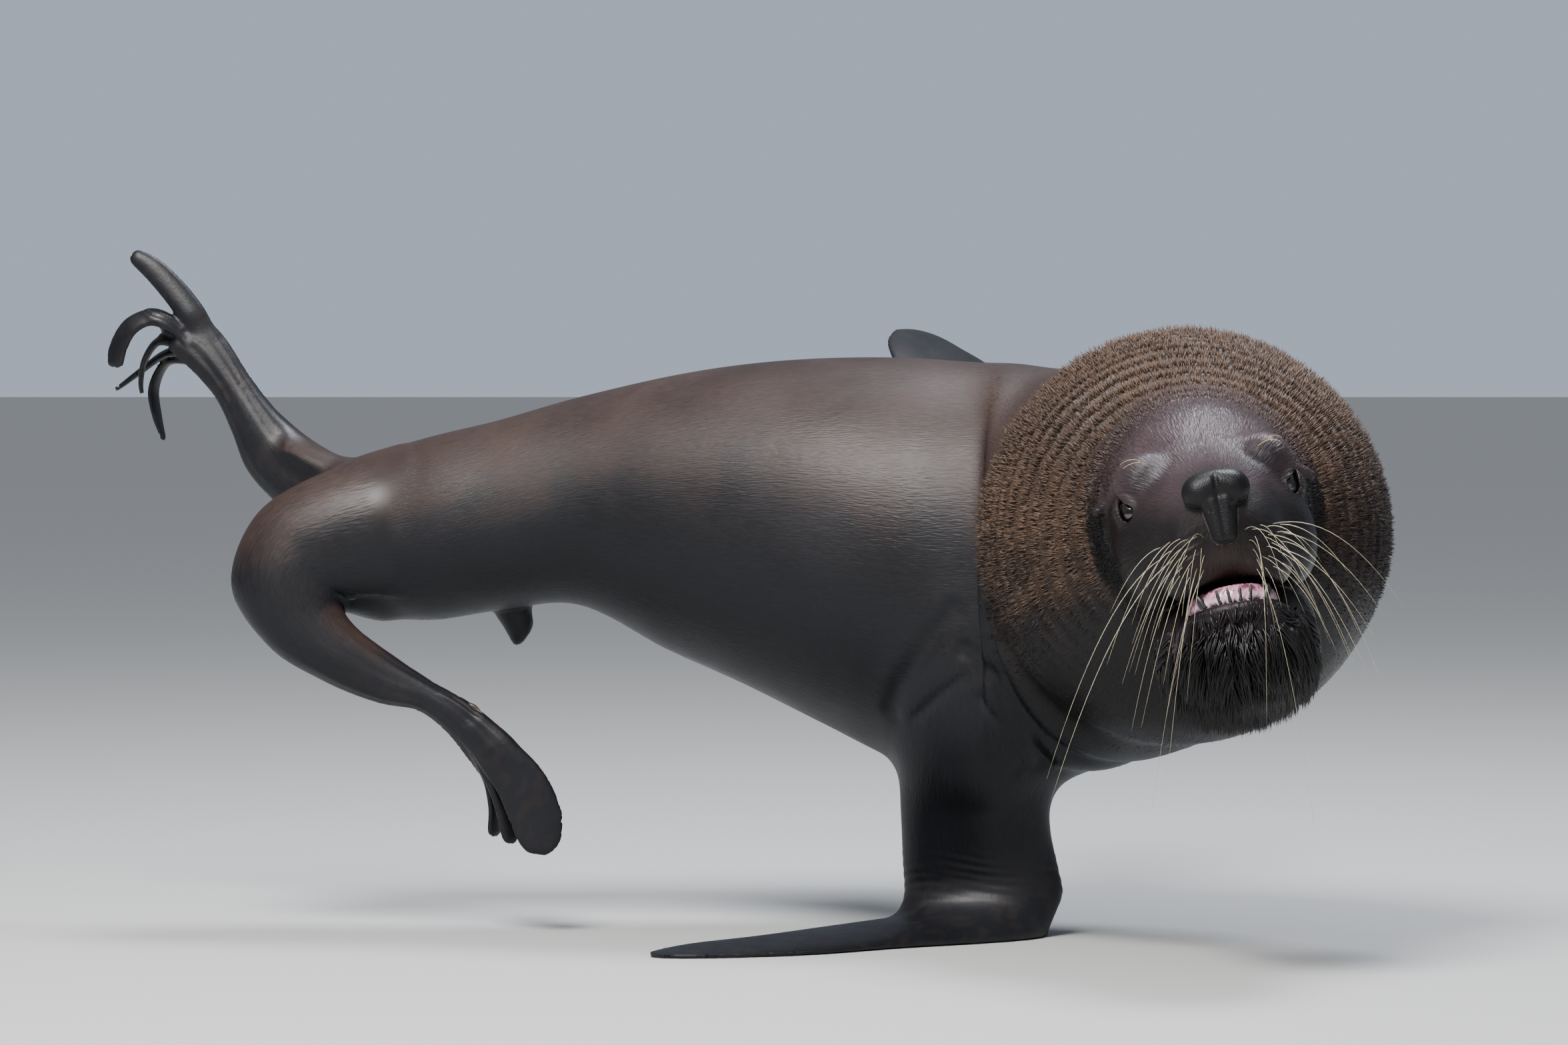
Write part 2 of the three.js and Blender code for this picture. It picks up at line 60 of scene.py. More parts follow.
# ------------------------------------------------------------------ measures, in metres
SKIN_STEP = 5.0 * MM      # grid that the skin is drawn from
TUFT_SHARE = 1.0    # part of the coat's tufts that is made
SHORT_COAT = 3.5 * MM      # depth of the body's coat
MANE_DEPTH = 13 * MM       # depth of the mane that stands on the ruff
ROW_OF_HAIR = 16 * MM      # spacing of the rows that the mane falls into
TUFT_ROOT = 1.2 * MM       # depth of a tuft's root under the skin
END_ROUND = 10 * MM        # rounding at the ends of limbs and toes
LIMB_REACH = 0.07          # a limb is measured this far round its box
SURVEY_REACH = 0.08        # and surveyed this far round it
FAR_AWAY = 0.12            # distance given where a limb is not near
RUFF_X, RUFF_Z = 0.272, 0.545              # middle of the ruff, seen from the front
WHISKER_FRONT = -0.765     # no whisker reaches further forward

# ------------------------------------------------------------------ measures, in millimetres
CHEST_HALF_WIDTH = 255
CHEST_HALF_HEIGHT = 283
MANE_RADIUS = 281
EYE_CENTRE = (282, -520, 607)              # point between the eyes, origin of the head's frame
HEAD_YAW, HEAD_PITCH, HEAD_ROLL = -1, 13, 10       # degrees
HEAD_LOW, HEAD_HIGH = (-220, -340, -260), (220, 230, 230)      # box round the head, in its frame
EYE_RADIUS = 21
EYE_OFFSET = (96, -10, 13)
NAIL_RADIUS = 4.2
PALM_SINK = 0.3            # share of the palm's half-thickness that its rings sink under the floor

# ------------------------------------------------------------------ counts
RINGS_PER_ROW = 10         # rings of a sweep for each row of its table
AT_ONCE = 30000            # points measured at once
MANE_TUFTS, FUR_TUFTS, FACE_TUFTS, BEARD_TUFTS = 66000, 24000, 25000, 6500
BEARD_LOCKS = 180          # wet points that the beard gathers into
MOST_TRIANGLES = 190000    # of one piece of the coat
PATCH = 0.003              # width of a tuft's patch on the unwrap
EYE_SIDES = 96


def across(half_width, heading=0, roll=0):
    """Wide half-axis of a body ring that faces `heading` and leans by `roll` degrees."""
    h, r = math.radians(heading), math.radians(roll)
    return (-math.sin(h) * math.cos(r) * half_width, math.cos(h) * math.cos(r) * half_width,
            math.sin(r) * half_width)


# a row is: centre x, y, z, wide half-axis x, y, z, thick half-axis
BODY = [
    (-885, 158, 545, *across(52, 0, 40), 50),
    (-850, 152, 531, *across(103, 0, 40), 103),
    (-740, 132, 541, *across(124, 0, 36), 129),
    (-640, 120, 560, *across(132, 0, 30), 133),
    (-530, 110, 580, *across(146, 0, 24), 144),
    (-411, 100, 564, *across(180, 0, 18), 189),
    (-305, 88, 549, *across(208, 0, 14), 221),
    (-199, 75, 527, *across(235, 0, 10), 251),
    (-93, 60, 502, *across(250, 0, 8), 277),
    (0, 40, 490, *across(CHEST_HALF_WIDTH, 0, 6), CHEST_HALF_HEIGHT),
    (61, 15, 488, *across(256, -13, 5), 283),
    (120, -21, 488, *across(258, -28, 4), 277),
    (175, -67, 499, *across(260, -42), 278),
    (221, -122, 512, *across(261, -57), 276),
    (253, -184, 527, *across(263, -71), 273),
    (270, -245, 542, *across(MANE_RADIUS, -82), MANE_RADIUS),
    (272, -318, 548, *across(260, -87), 260),
    (274, -372, 553, *across(219, -90), 219),
    (273, -412, 556, *across(170, -90), 170),
    (274, -442, 559, *across(118, -90), 118),
]
RIGHT_ARM = [
    (20, -40, 470, 100, 0, 0, 100), (16, -66, 400, 112, 0, 0, 124), (8, -66, 330, 104, 0, 0, 122),
    (0, -50, 265, 99, 0, 0, 102), (0, -25, 200, 100, 0, 0, 78), (4, -8, 140, 101, 0, 0, 62),
    (11, 0, 92, 105, -4, 0, 54), (16, 0, 55, 106, -10, 0, 50), (10, -2, 26, 93, -14, 0, 46),
    (3, -4, 8, 70, -14, 0, 38),
]
PALM_CHORD = (0.486, -0.874)


def palm_ring(x, y, half_chord, height):
    """Ring of the palm that lies on the floor."""
    thick = height / (1 + PALM_SINK)
    return (x, y, PALM_SINK * thick, PALM_CHORD[0] * half_chord, PALM_CHORD[1] * half_chord, 0, thick)


RIGHT_HAND = [
    palm_ring(86, 40, 28, 26), palm_ring(72, 24, 58, 40), palm_ring(30, -4, 86, 46),
    palm_ring(-39, -47, 96, 36), palm_ring(-149, -103, 104, 23), palm_ring(-250, -188, 98, 16),
    palm_ring(-342, -250, 80, 12), palm_ring(-404, -298, 44, 8), palm_ring(-430, -318, 12, 5),
]
LEFT_ARM = [
    (25, 120, 530, 90, 0, 0, 90), (24, 220, 560, 106, 0, 0, 84), (24, 300, 590, 106, 8, -6, 60),
    (24, 370, 620, 102, 16, -14, 42), (20, 435, 650, 100, 24, -22, 30), (14, 510, 692, 98, 32, -26, 21),
    (-6, 590, 738, 90, 38, -26, 15), (-26, 655, 771, 78, 36, -21, 12), (-41, 706, 791, 54, 25, -16, 9),
    (-52, 736, 801, 34, 16, -8, 7), (-58, 751, 805, 14, 7, -3, 5),
]
RIGHT_LEG = [
    (-770, 115, 545, 0, -10, 100, 80), (-840, 100, 528, -30, -10, 94, 80), (-903, 88, 500, -62, 0, 65, 70),
    (-923, 74, 458, -77, 0, 10, 60), (-899, 62, 412, -50, 0, -27, 46), (-850, 54, 374, -24, 0, -36, 35),
    (-790, 48, 342, -13, 0, -32, 25), (-735, 42, 319, -11, 0, -20, 19), (-690, 36, 291, -19, 4, -18, 16),
    (-652, 30, 251, -26, 8, -16, 13), (-632, 28, 220, -26, 10, -11, 9),
]
RIGHT_TOES = [
    [(-676, 24, 286, 16, 0, 18, 11), (-640, 18, 246, 22, 0, 18, 10), (-606, 12, 205, 31, 0, 15, 8),
     (-587, 8, 162, 37, 0, 4, 7), (-582, 6, 128, 30, 0, -2, 6), (-584, 6, 106, 13, 0, -2, 4)],
    [(-660, 36, 250, 14, 10, 10, 9), (-640, 36, 208, 13, 12, 6, 8), (-627, 34, 168, 13, 11, 3, 7),
     (-621, 32, 134, 12, 9, 0, 6), (-620, 31, 118, 6, 5, 0, 4)],
    [(-678, 42, 270, 8, 14, 6, 10), (-660, 58, 238, 8, 16, 6, 9), (-648, 62, 204, 7, 16, 3, 8),
     (-643, 62, 166, 6, 14, 0, 7), (-643, 60, 138, 8, 12, 0, 6), (-643, 58, 126, 5, 6, 0, 4)],
    [(-678, 44, 272, 8, 14, 6, 10), (-652, 76, 242, 6, 17, 4, 9), (-636, 88, 206, 6, 16, 2, 8),
     (-628, 92, 168, 6, 14, 0, 7), (-626, 90, 140, 7, 10, 0, 6), (-626, 88, 128, 4, 5, 0, 4)],
    [(-684, 46, 282, 10, 14, 6, 11), (-654, 92, 252, 12, 17, 6, 9), (-626, 114, 212, 14, 16, 4, 8),
     (-612, 120, 168, 16, 14, 0, 7), (-608, 118, 134, 14, 12, 0, 6), (-608, 116, 118, 7, 6, 0, 4)],
]
LEFT_LEG = [
    (-800, 172, 570, 60, 0, 50, 60), (-868, 196, 586, 44, 0, 40, 58), (-920, 208, 617, 37, 0, 35, 42),
    (-956, 214, 650, 34, 0, 29, 30), (-982, 220, 690, 28, 0, 19, 23), (-1010, 228, 735, 24, 2, 15, 17),
    (-1048, 236, 784, 26, 6, 20, 13), (-1078, 242, 808, 24, 8, 22, 9),
]
LEFT_TOES = [
    [(-1034, 234, 790, 17, 4, 12, 10), (-1062, 240, 828, 16, 4, 11, 10), (-1089, 246, 863, 14, 4, 12, 8),
     (-1118, 252, 893, 10, 3, 13, 7), (-1142, 256, 910, 5, 2, 11, 6), (-1153, 258, 914, 2, 1, 6, 4)],
    [(-1064, 232, 792, 6, 9, 14, 8), (-1090, 234, 818, -1, 9, 14, 7), (-1120, 236, 829, -2, 9, 12, 6),
     (-1150, 238, 816, -9, 9, 9, 6), (-1167, 240, 787, -13, 9, 3, 6), (-1172, 241, 758, -11, 6, 1, 5)],
    [(-1044, 238, 778, 6, 12, 8, 9), (-1072, 254, 788, 2, 16, 6, 8), (-1098, 262, 796, 0, 16, 4, 7),
     (-1118, 268, 793, 0, 15, 2, 6), (-1134, 270, 768, 0, 14, 0, 5), (-1139, 270, 738, 0, 10, 0, 4),
     (-1136, 270, 716, 0, 4, 0, 3)],
    [(-1036, 236, 766, 8, 12, 8, 9), (-1062, 268, 779, 2, 16, 6, 8), (-1086, 286, 783, 0, 16, 4, 7),
     (-1112, 300, 776, 0, 15, 2, 6), (-1144, 306, 753, 0, 13, 0, 5), (-1168, 306, 735, 0, 9, 0, 4),
     (-1183, 306, 725, 0, 4, 0, 3)],
    [(-1024, 234, 748, 8, 12, 8, 9), (-1052, 276, 765, 2, 15, 6, 8), (-1078, 306, 771, 2, 16, 3, 7),
     (-1110, 326, 764, 3, 16, 0, 6), (-1127, 334, 730, 5, 15, 0, 6), (-1123, 336, 692, 5, 12, 0, 5),
     (-1112, 336, 654, 2, 5, 0, 3)],
]
LEFT_WEB = [(-1044, 233, 770, -20, -1, 22, 9), (-1071, 255, 791, -19, -21, 26, 8),
            (-1094, 266, 799, -18, -30, 27, 6), (-1108, 268, 806, -12, -20, 20, 3)]
TAIL = [(-820, 150, 600, 0, 22, 8, 22), (-870, 162, 622, 0, 24, 8, 18), (-905, 172, 638, 0, 20, 6, 12),
        (-932, 180, 650, 0, 11, 3, 6)]
SHEATH = [(-622, 150, 470, 30, 0, 0, 26), (-622, 154, 432, 28, 0, 0, 22), (-615, 156, 408, 22, 0, 0, 16),
          (-615, 157, 390, 12, 0, 0, 9), (-618, 157, 378, 4, 0, 0, 4)]
# the head's own frame: x to the left, y up, z forwards, from the point between the eyes
SKULL = [
    (0, -20, -190, 112, 0, 0, 118), (0, -8, -140, 138, 0, 0, 146), (0, -4, -90, 136, 0, 0, 150),
    (0, -6, -50, 130, 0, 0, 141), (0, -18, -10, 119, 0, 0, 122), (0, -34, 30, 104, 0, 0, 103),
    (0, -52, 70, 88, 0, 0, 84), (0, -64, 105, 76, 0, 0, 68), (0, -70, 132, 58, 0, 0, 54),
    (0, -72, 148, 36, 0, 0, 36), (0, -73, 154, 16, 0, 0, 16),
]
CHIN = [
    (4, -150, -110, 108, 0, 0, 84), (4, -172, -60, 106, 0, 0, 84), (4, -184, -10, 100, 0, 0, 74),
    (4, -193, 36, 90, 0, 0, 62), (4, -200, 76, 74, 0, 0, 48), (3, -203, 104, 56, 0, 0, 38),
    (2, -204, 124, 34, 0, 0, 26), (2, -204, 132, 14, 0, 0, 12),
]


# ------------------------------------------------------------------ shapes as signed distances
def unit(v):
    """Vectors at length 1."""
    return v / np.maximum(np.linalg.norm(v, axis=-1, keepdims=True), 1e-12)


def dot(a, b):
    return np.einsum("...i,...i->...", a, b)


def spline(rows, t):
    """Rows of a table read at fractional row numbers, on a uniform Catmull-Rom spline."""
    rows = np.asarray(rows, float)
    padded = np.vstack([2 * rows[0] - rows[1], rows, 2 * rows[-1] - rows[-2]])
    i = np.clip(np.floor(t).astype(int), 0, len(rows) - 2)
    f = (t - i)[:, None]
    a, b, c, d = (padded[i + k] for k in range(4))
    return b + 0.5 * f * (c - a + f * (2 * a - 5 * b + 4 * c - d + f * (3 * (b - c) + d - a)))


def blend(a, b, reach):
    """Union of two distances with a fillet about `reach` wide."""
    h = np.maximum(reach - np.abs(a - b), 0) / reach
    return np.minimum(a, b) - h * h * reach / 4


def carve(a, b, reach):
    """Distance a with the solid of distance b taken away, its edge rounded."""
    return -blend(-a, b, reach)


def ellipse(x, y, a, b):
    """Distance to an ellipse of half-axes a and b, near enough close to its outline."""
    rho = np.hypot(x / a, y / b)
    slope = np.hypot(x / a ** 2, y / b ** 2)
    return np.where(rho < 0.05, -np.minimum(a, b), (rho - 1) * rho / np.maximum(slope, 1e-9))


def ramp(x, low, high):
    """0 below low, 1 above high, smooth between."""
    t = np.clip((x - low) / (high - low), 0, 1)
    return t * t * (3 - 2 * t)


def bump(x, centre, width):
    """1 at the centre, falling to nothing about two widths away."""
    return np.exp(-((x - centre) / width) ** 2)


class Sweep:
    """Elliptical tube through a ring table, that can be measured from any point."""

    def __init__(self, rows, fan=False):
        rows = np.array(rows, float) * MM
        self.row = np.linspace(0, len(rows) - 1, (len(rows) - 1) * RINGS_PER_ROW + 1)
        table = spline(rows, self.row)
        self.centre = table[:, :3]
        self.half_wide = np.linalg.norm(table[:, 3:6], axis=1)
        self.wide = unit(table[:, 3:6])
        along = np.cross(self.wide, (0, 0, 1)) if fan else np.gradient(self.centre, axis=0)
        self.along = unit(along - dot(along, self.wide)[:, None] * self.wide)
        self.thick = np.cross(self.along, self.wide)
        self.half_thick = table[:, 6]
        steps = np.linalg.norm(np.diff(self.centre, axis=0), axis=1)
        self.travel = np.concatenate([[0], np.cumsum(steps)])
        size = np.maximum(self.half_wide, self.half_thick)[:, None]
        self.low, self.high = (self.centre - size).min(0), (self.centre + size).max(0)

    def near(self, p, margin):
        """Whether each point is in the sweep's box or within a margin of it."""
        return np.all((p > self.low - margin) & (p < self.high + margin), axis=1)

    def measure(self, p):
        """Distance, row, angle, travel, direction and offset from the centre line at each point."""
        out = [self._measure(p[i:i + AT_ONCE]) for i in range(0, len(p), AT_ONCE)]
        if not out:
            return (np.zeros(0),) * 4 + (np.zeros((0, 3)),) * 2
        return tuple(np.concatenate(column) for column in zip(*out))

    def _measure(self, p):
        # each point lies between the planes of two rings, `h` before and behind it, or beyond an end
        q = p.astype(np.float32)
        h = q @ self.along.T.astype(np.float32) - dot(self.centre, self.along).astype(np.float32)
        far = dot(q, q)[:, None] - 2 * q @ self.centre.T.astype(np.float32)
        far += dot(self.centre, self.centre).astype(np.float32)
        crossing = (h[:, :-1] >= 0) & (h[:, 1:] < 0)
        cost = np.where(crossing, far[:, :-1], 1e6)
        i = cost.argmin(1)
        n = np.arange(len(p))
        found = cost[n, i] < 1e5
        step = np.where(found, h[n, i] / np.maximum(h[n, i] - h[n, i + 1], 1e-9), 0)
        last = len(self.row) - 1
        nearest_last = far[:, -1] < far[:, 0]
        position = np.where(found, i + step, np.where(nearest_last, last, 0))
        over = np.where(found, 0, np.where(nearest_last, np.abs(h[:, -1]), np.abs(h[:, 0])))
        k = np.clip(position.astype(int), 0, last - 1)
        f = (position - k)[:, None]

        def read(values):
            return values[k] * (1 - f) + values[k + 1] * f
        offset = p - read(self.centre)
        a = read(self.half_wide[:, None])[:, 0]
        b = read(self.half_thick[:, None])[:, 0]
        x = dot(offset, read(self.wide))
        y = dot(offset, read(self.thick))
        flat = np.maximum(ellipse(x, y, a, b), -np.minimum(a, b))
        travel = read(self.travel[:, None])[:, 0]
        to_end = -np.minimum(travel, self.travel[-1] - travel)
        distance = np.where(over > 0, np.hypot(np.maximum(flat, 0), over), carve(flat, -to_end, END_ROUND))
        return (distance, read(self.row[:, None])[:, 0], np.arctan2(y / b, x / a),
                travel, read(self.along), offset)


def ellipsoid(p, centre, radii):
    """Distance to an ellipsoid, near enough close to its surface."""
    q = (p - np.array(centre)) / np.array(radii)
    k0 = np.linalg.norm(q, axis=1)
    k1 = np.linalg.norm(q / np.array(radii), axis=1)
    return np.where(k0 < 0.02, -min(radii), k0 * (k0 - 1) / np.maximum(k1, 1e-9))


def capsule(p, a, b, ra, rb=None):
    """Distance to a round bar from a to b, its radius going from ra to rb."""
    a, b = np.array(a, float), np.array(b, float)
    rb = ra if rb is None else rb
    t = np.clip((p - a) @ (b - a) / ((b - a) @ (b - a)), 0, 1)
    return np.linalg.norm(p - a - t[:, None] * (b - a), axis=1) - (ra + (rb - ra) * t)


# ------------------------------------------------------------------ head
def head_matrix():
    """Turn and place of the head's frame in the world."""
    yaw, pitch, roll = (math.radians(v) for v in (HEAD_YAW, HEAD_PITCH, HEAD_ROLL))
    forward = Vector((math.sin(yaw) * math.cos(pitch), -math.cos(yaw) * math.cos(pitch), math.sin(pitch)))
    left = Matrix.Rotation(roll, 3, forward) @ Vector((math.cos(yaw), math.sin(yaw), 0))
    turn = Matrix((left, forward.cross(left), forward)).transposed()
    return np.array(turn), np.array(EYE_CENTRE) * MM


HEAD_TURN, HEAD_AT = head_matrix()


def to_head(p):
    """World metres to head millimetres."""
    return (p - HEAD_AT) @ HEAD_TURN / MM


def from_head(q):
    return HEAD_AT + np.asarray(q, float) * MM @ HEAD_TURN.T


def head_profile(rows, z):
    """Centre height, half width and half height of a head table at depth z."""
    rows = np.array(rows, float)
    fine = spline(rows, np.linspace(0, len(rows) - 1, 121))
    return (np.interp(z, fine[:, 2], fine[:, k]) for k in (0, 1, 3, 6))


def tube(q, rows, inset):
    """Distance to a head table's tube, in head millimetres."""
    x0, y0, wide, high = head_profile(rows, q[:, 2])
    wide, high = wide - inset, high - inset
    flat = ellipse(q[:, 0] - x0, q[:, 1] - y0, wide, high)
    over = np.maximum(q[:, 2] - (rows[-1][2] - inset), rows[0][2] - q[:, 2])
    return np.where(over > 0, np.hypot(np.maximum(flat, 0), over), np.maximum(flat, over))


def mirrored(q):
    """Points folded onto the left half, softly at the middle."""
    folded = q.copy()
    folded[:, 0] = np.sqrt(q[:, 0] ** 2 + 1.5 ** 2)
    return folded


def arch_distance(q, half_width, depth, centre, radius, lift=6):
    """Round bar bent along the front of the dental arch."""
    angles = np.radians(np.linspace(-75, 75, 17))
    pts = np.stack([half_width * np.sin(angles), centre[1] - 4 + lift * np.cos(angles),
                    centre[2] + depth * np.cos(angles)], axis=1)
    d = np.full(len(q), 1e3)
    for a, b in zip(pts[:-1], pts[1:]):
        d = np.minimum(d, capsule(q, a, b, radius))
    return d


EYE_BACK = (112, 12, 20)        # corners of the left eye's opening, in the head's frame
EYE_FRONT = (92, -38, 34)
EAR_ROOT = np.array((118, 24, -42.0))


def nose_distance(q, m):
    """Nose pad: two lobes, the column under them with its groove, and comma nostrils."""
    d = blend(ellipsoid(m, (20, -24, 145), (23, 23, 23)), ellipsoid(q, (0, -17, 146), (28, 19, 22)), 8)
    d = blend(d, capsule(m, (9, -40, 152), (5, -82, 150), 13, 11), 4)
    for a, b, ra, rb in (((17, -51, 165), (28, -51, 160), 6, 7), ((28, -51, 160), (45, -38, 149), 7, 4)):
        d = carve(d, capsule(m, a, b, ra, rb), 2)
    groove = np.minimum(capsule(q, (0, 2, 167), (0, -50, 168.5), 2.4),
                        capsule(q, (0, -44, 169), (0, -100, 163), 2.2))
    return carve(d, groove, 5)


def eye_opening(m):
    """Almond between the lids, swept out through them."""
    back, front = np.array(EYE_BACK, float), np.array(EYE_FRONT, float)
    middle = (back + front) / 2 + (3, 0, 5)
    return blend(capsule(m, back, middle, 3.0, 9.5), capsule(m, middle, front, 9.5, 3.0), 4)


def head_distance(q):
    """Distance to the skin of the head, in head millimetres."""
    m = mirrored(q)
    d = tube(q, SKULL, 2.5)
    # heavy brows, cheeks and the broad bridge of the muzzle
    d = blend(d, ellipsoid(m, (75, 27, 14), (39, 38, 37)), 17)
    d = blend(d, ellipsoid(m, (84, -74, 2), (42, 60, 66)), 30)
    d = blend(d, capsule(m, (0, -2, 40), (0, -22, 118), 38, 25), 22)
    # shallow furrow between the brows and round the outside of each brow
    d = d + 3.5 * bump(m[:, 0], 0, 17) * bump(q[:, 1], 70, 30) * ramp(q[:, 2], -60, 0)
    # whisker pads and the lip that hangs over the mouth
    d = blend(d, ellipsoid(m, (36, -92, 104), (40, 41, 41)), 12)
    d = d - 1.1 * np.sin((q[:, 1] + 0.35 * m[:, 0]) / 11.5 * 2 * math.pi) * bump(m[:, 0], 46, 20) * bump(
        q[:, 1], -98, 26) * ramp(q[:, 2], 80, 110)
    d = blend(d, ellipsoid(m, (47, -120, 88), (34, 28, 44)), 20)
    # lids over the eyeball, their opening, and folds round them
    eye = np.array(EYE_OFFSET, float)
    back, front = np.array(EYE_BACK, float), np.array(EYE_FRONT, float)
    d = blend(d, ellipsoid(m, eye + (1, 0, -1), (26.5, 26.5, 26.5)), 7)
    d = blend(d, capsule(m, back + (-2, 12, 0), front + (-4, 17, 3), 8, 7), 7)
    d = blend(d, capsule(m, back + (-2, -15, -2), front + (4, -7, -4), 4.5, 4), 6)
    opening = eye_opening(m)
    d = carve(d, opening, 2)
    d = carve(d, np.maximum(ellipsoid(m, eye, (EYE_RADIUS + 0.5,) * 3), opening - 5), 1.5)
    for a, b, r in (((92, -44, 40), (106, -66, 24), 2.5), ((106, -66, 24), (108, -100, 14), 2)):
        d = carve(d, capsule(m, a, b, r), 8)
    d = blend(d, nose_distance(q, m), 7)
    d = carve(d, capsule(q, (0, -98, 154), (0, -128, 146), 1.5), 6)
    # ears
    ear = capsule(m, EAR_ROOT + (-6, 1, 3), EAR_ROOT + (19, -13, -5), 11.5, 7)
    ear = carve(ear, capsule(m, EAR_ROOT + (4, -15, 10), EAR_ROOT + (18, -20, 4), 6, 4), 4)
    d = blend(d, ear, 7)
    # chin and lower lip, with the open mouth between
    chin = blend(tube(q, CHIN, 0), arch_distance(q, 59, 66, (0, -179, 60), 13, lift=9), 10)
    mouth = ellipsoid(q, (0, -149, 92), (60, 20, 62))
    d = carve(d, mouth, 6)
    chin = carve(chin, ellipsoid(q, (0, -154, 88), (54, 17, 56)), 5)
    return blend(d, chin, 7)


# ------------------------------------------------------------------ the whole skin
body = Sweep(BODY, fan=True)
right_arm, right_hand, left_arm = Sweep(RIGHT_ARM), Sweep(RIGHT_HAND), Sweep(LEFT_ARM)
right_leg, left_leg = Sweep(RIGHT_LEG), Sweep(LEFT_LEG)
right_toes, left_toes = [Sweep(t) for t in RIGHT_TOES], [Sweep(t) for t in LEFT_TOES]
left_web, tail, sheath = Sweep(LEFT_WEB), Sweep(TAIL), Sweep(SHEATH)


def part_distance(sweep, p, inset, relief):
    """Distance of a sweep where it is near, and FAR_AWAY elsewhere."""
    d = np.full(len(p), FAR_AWAY)
    near = sweep.near(p, LIMB_REACH)
    found, _, angle, travel, _, _ = sweep.measure(p[near])
    d[near] = found + inset - (relief(angle, travel) if relief else 0)
    return d


def wrist_folds(angle, travel):
    """Slack skin that creases slantwise across the wrist, and sinews down the forearm."""
    slant = travel + 0.016 * np.sin(angle - 0.4) + 0.005 * np.sin(3 * angle + 1)
    creases = np.sin(slant / 0.015 * 2 * math.pi) * np.sin(2 * angle + slant / 0.05)
    sinews = np.sin(5 * angle + 1) * bump(travel, 0.27, 0.12)
    return (0.38 * creases * bump(slant, 0.42, 0.05) + 3.0 * sinews) * MM


# crease lines on the chest: points along each, its width and its depth
SHOULDER_CREASES = [
    (((-110, -110, 310), (-99, -144, 344), (-68, -182, 394), (-30, -202, 445)), 14, 7),
    (((92, -130, 243), (64, -194, 294), (27, -228, 357), (-17, -202, 394)), 13, 8),
    (((-80, -140, 300), (-45, -178, 335), (-10, -198, 360)), 8, 3.5),
    (((60, -138, 235), (40, -192, 290), (8, -196, 330)), 8, 3.5),
]


def shoulder_folds(p):
    """Creases in the chest where the near fore flipper carries the weight."""
    depth = np.zeros(len(p))
    for line, wide, deep in SHOULDER_CREASES:
        line = np.array(line, float) * MM
        away = np.full(len(p), 1.0)
        for a, b in zip(line[:-1], line[1:]):
            away = np.minimum(away, capsule(p, a, b, 0))
        depth += deep * MM * bump(away, 0, wide * MM)
    return depth


def shank_folds(angle, travel):
    """Long ridges that run down the hind flipper from the heel."""
    lines = np.sin(9 * angle + 6 * travel) + 0.5 * np.sin(15 * angle - 9 * travel + 2)
    return 0.6 * lines * ramp(travel, 0.18, 0.42) * MM


def far_shank_folds(angle, travel):
    """Ridges of the far hind flipper."""
    lines = np.sin(8 * angle + 4 * travel) + 0.5 * np.sin(13 * angle - 9 * travel + 2)
    return 0.5 * lines * ramp(travel, 0.06, 0.2) * MM


def coat_depth(row):
    """How deep the skin lies under the body's outline, from row numbers of the body."""
    return SHORT_COAT + (MANE_DEPTH - SHORT_COAT) * ramp(row, 10.5, 14.5)


def sleek(p):
    """1 under the throat, where the ruff lies short and smooth, and 0 round the rest of it."""
    angle = np.degrees(np.arctan2(p[:, 2] - RUFF_Z, p[:, 0] - RUFF_X))
    return ramp(np.abs(angle + 82), 84, 44)


def ridge(p, row, travel):
    """Height of the mane's corrugations: arcs round the ruff."""
    return np.sin(travel / ROW_OF_HAIR * 2 * math.pi) * ramp(row, 12.5, 15) * (1 - sleek(p)) * 2.4 * MM


def toe_start(angle, travel):
    """A toe swells out of the foot instead of starting with a step."""
    return -8 * MM * (1 - ramp(travel, 0, 0.06))


def joined(d, p, *parts):
    """Distance d with parts joined on, each a sweep, its inset and fillet in millimetres, and its relief."""
    for sweep, inset, fillet, relief in parts:
        d = blend(d, part_distance(sweep, p, inset * MM, relief), fillet * MM)
    return d


# what grows from each shank
RIGHT_FOOT = [(toe, 0.6, 14, toe_start) for toe in right_toes]
LEFT_FOOT = [(toe, 0.6, 9, toe_start) for toe in left_toes] + [(left_web, 1.2, 14, None)]
CROTCH = (-0.858, 0.095, 0.458), (-0.80, 0.115, 0.446), 0.020      # skin stretched behind the near thigh


def skin_distance(p):
    """Distance to the animal's skin from any point, in metres."""
    d, row, _, travel, _, _ = body.measure(p)
    d = d + coat_depth(row) - ridge(p, row, travel)
    # creases behind the ruff, deepest under the throat
    under = ramp(0.5 - p[:, 2], -0.05, 0.25)
    d = d + ((2.5 + 5 * under) * bump(row, 12.35, 0.22) + 4.5 * under * bump(row, 11.55, 0.16)) * MM
    d = joined(d, p, (right_arm, 1.2, 60, wrist_folds)) + shoulder_folds(p)
    d = joined(d, p, (left_arm, 0.5, 45, None), (tail, 1, 16, None), (sheath, 1.5, 14, None))
    for leg, relief, foot in ((right_leg, shank_folds, RIGHT_FOOT), (left_leg, far_shank_folds, LEFT_FOOT)):
        d = blend(d, joined(part_distance(leg, p, 1.0 * MM, relief), p, *foot), 26 * MM)
    d = blend(d, capsule(p, *CROTCH), 30 * MM)
    d = joined(d, p, (right_hand, 0.6, 45, None))
    d = carve(d, p[:, 2] - 0.2 * MM, 3 * MM)       # the sole is flat
    q = to_head(p)
    near = np.all((q > HEAD_LOW) & (q < HEAD_HIGH), axis=1)
    d[near] = blend(d[near], head_distance(q[near]) * MM, 55 * MM)
    return d


def gradient(field, p, step=0.8 * MM):
    """Slope of a distance field."""
    g = np.stack([field(p + e) - field(p - e) for e in np.eye(3) * step], axis=1)
    return g / (2 * step)


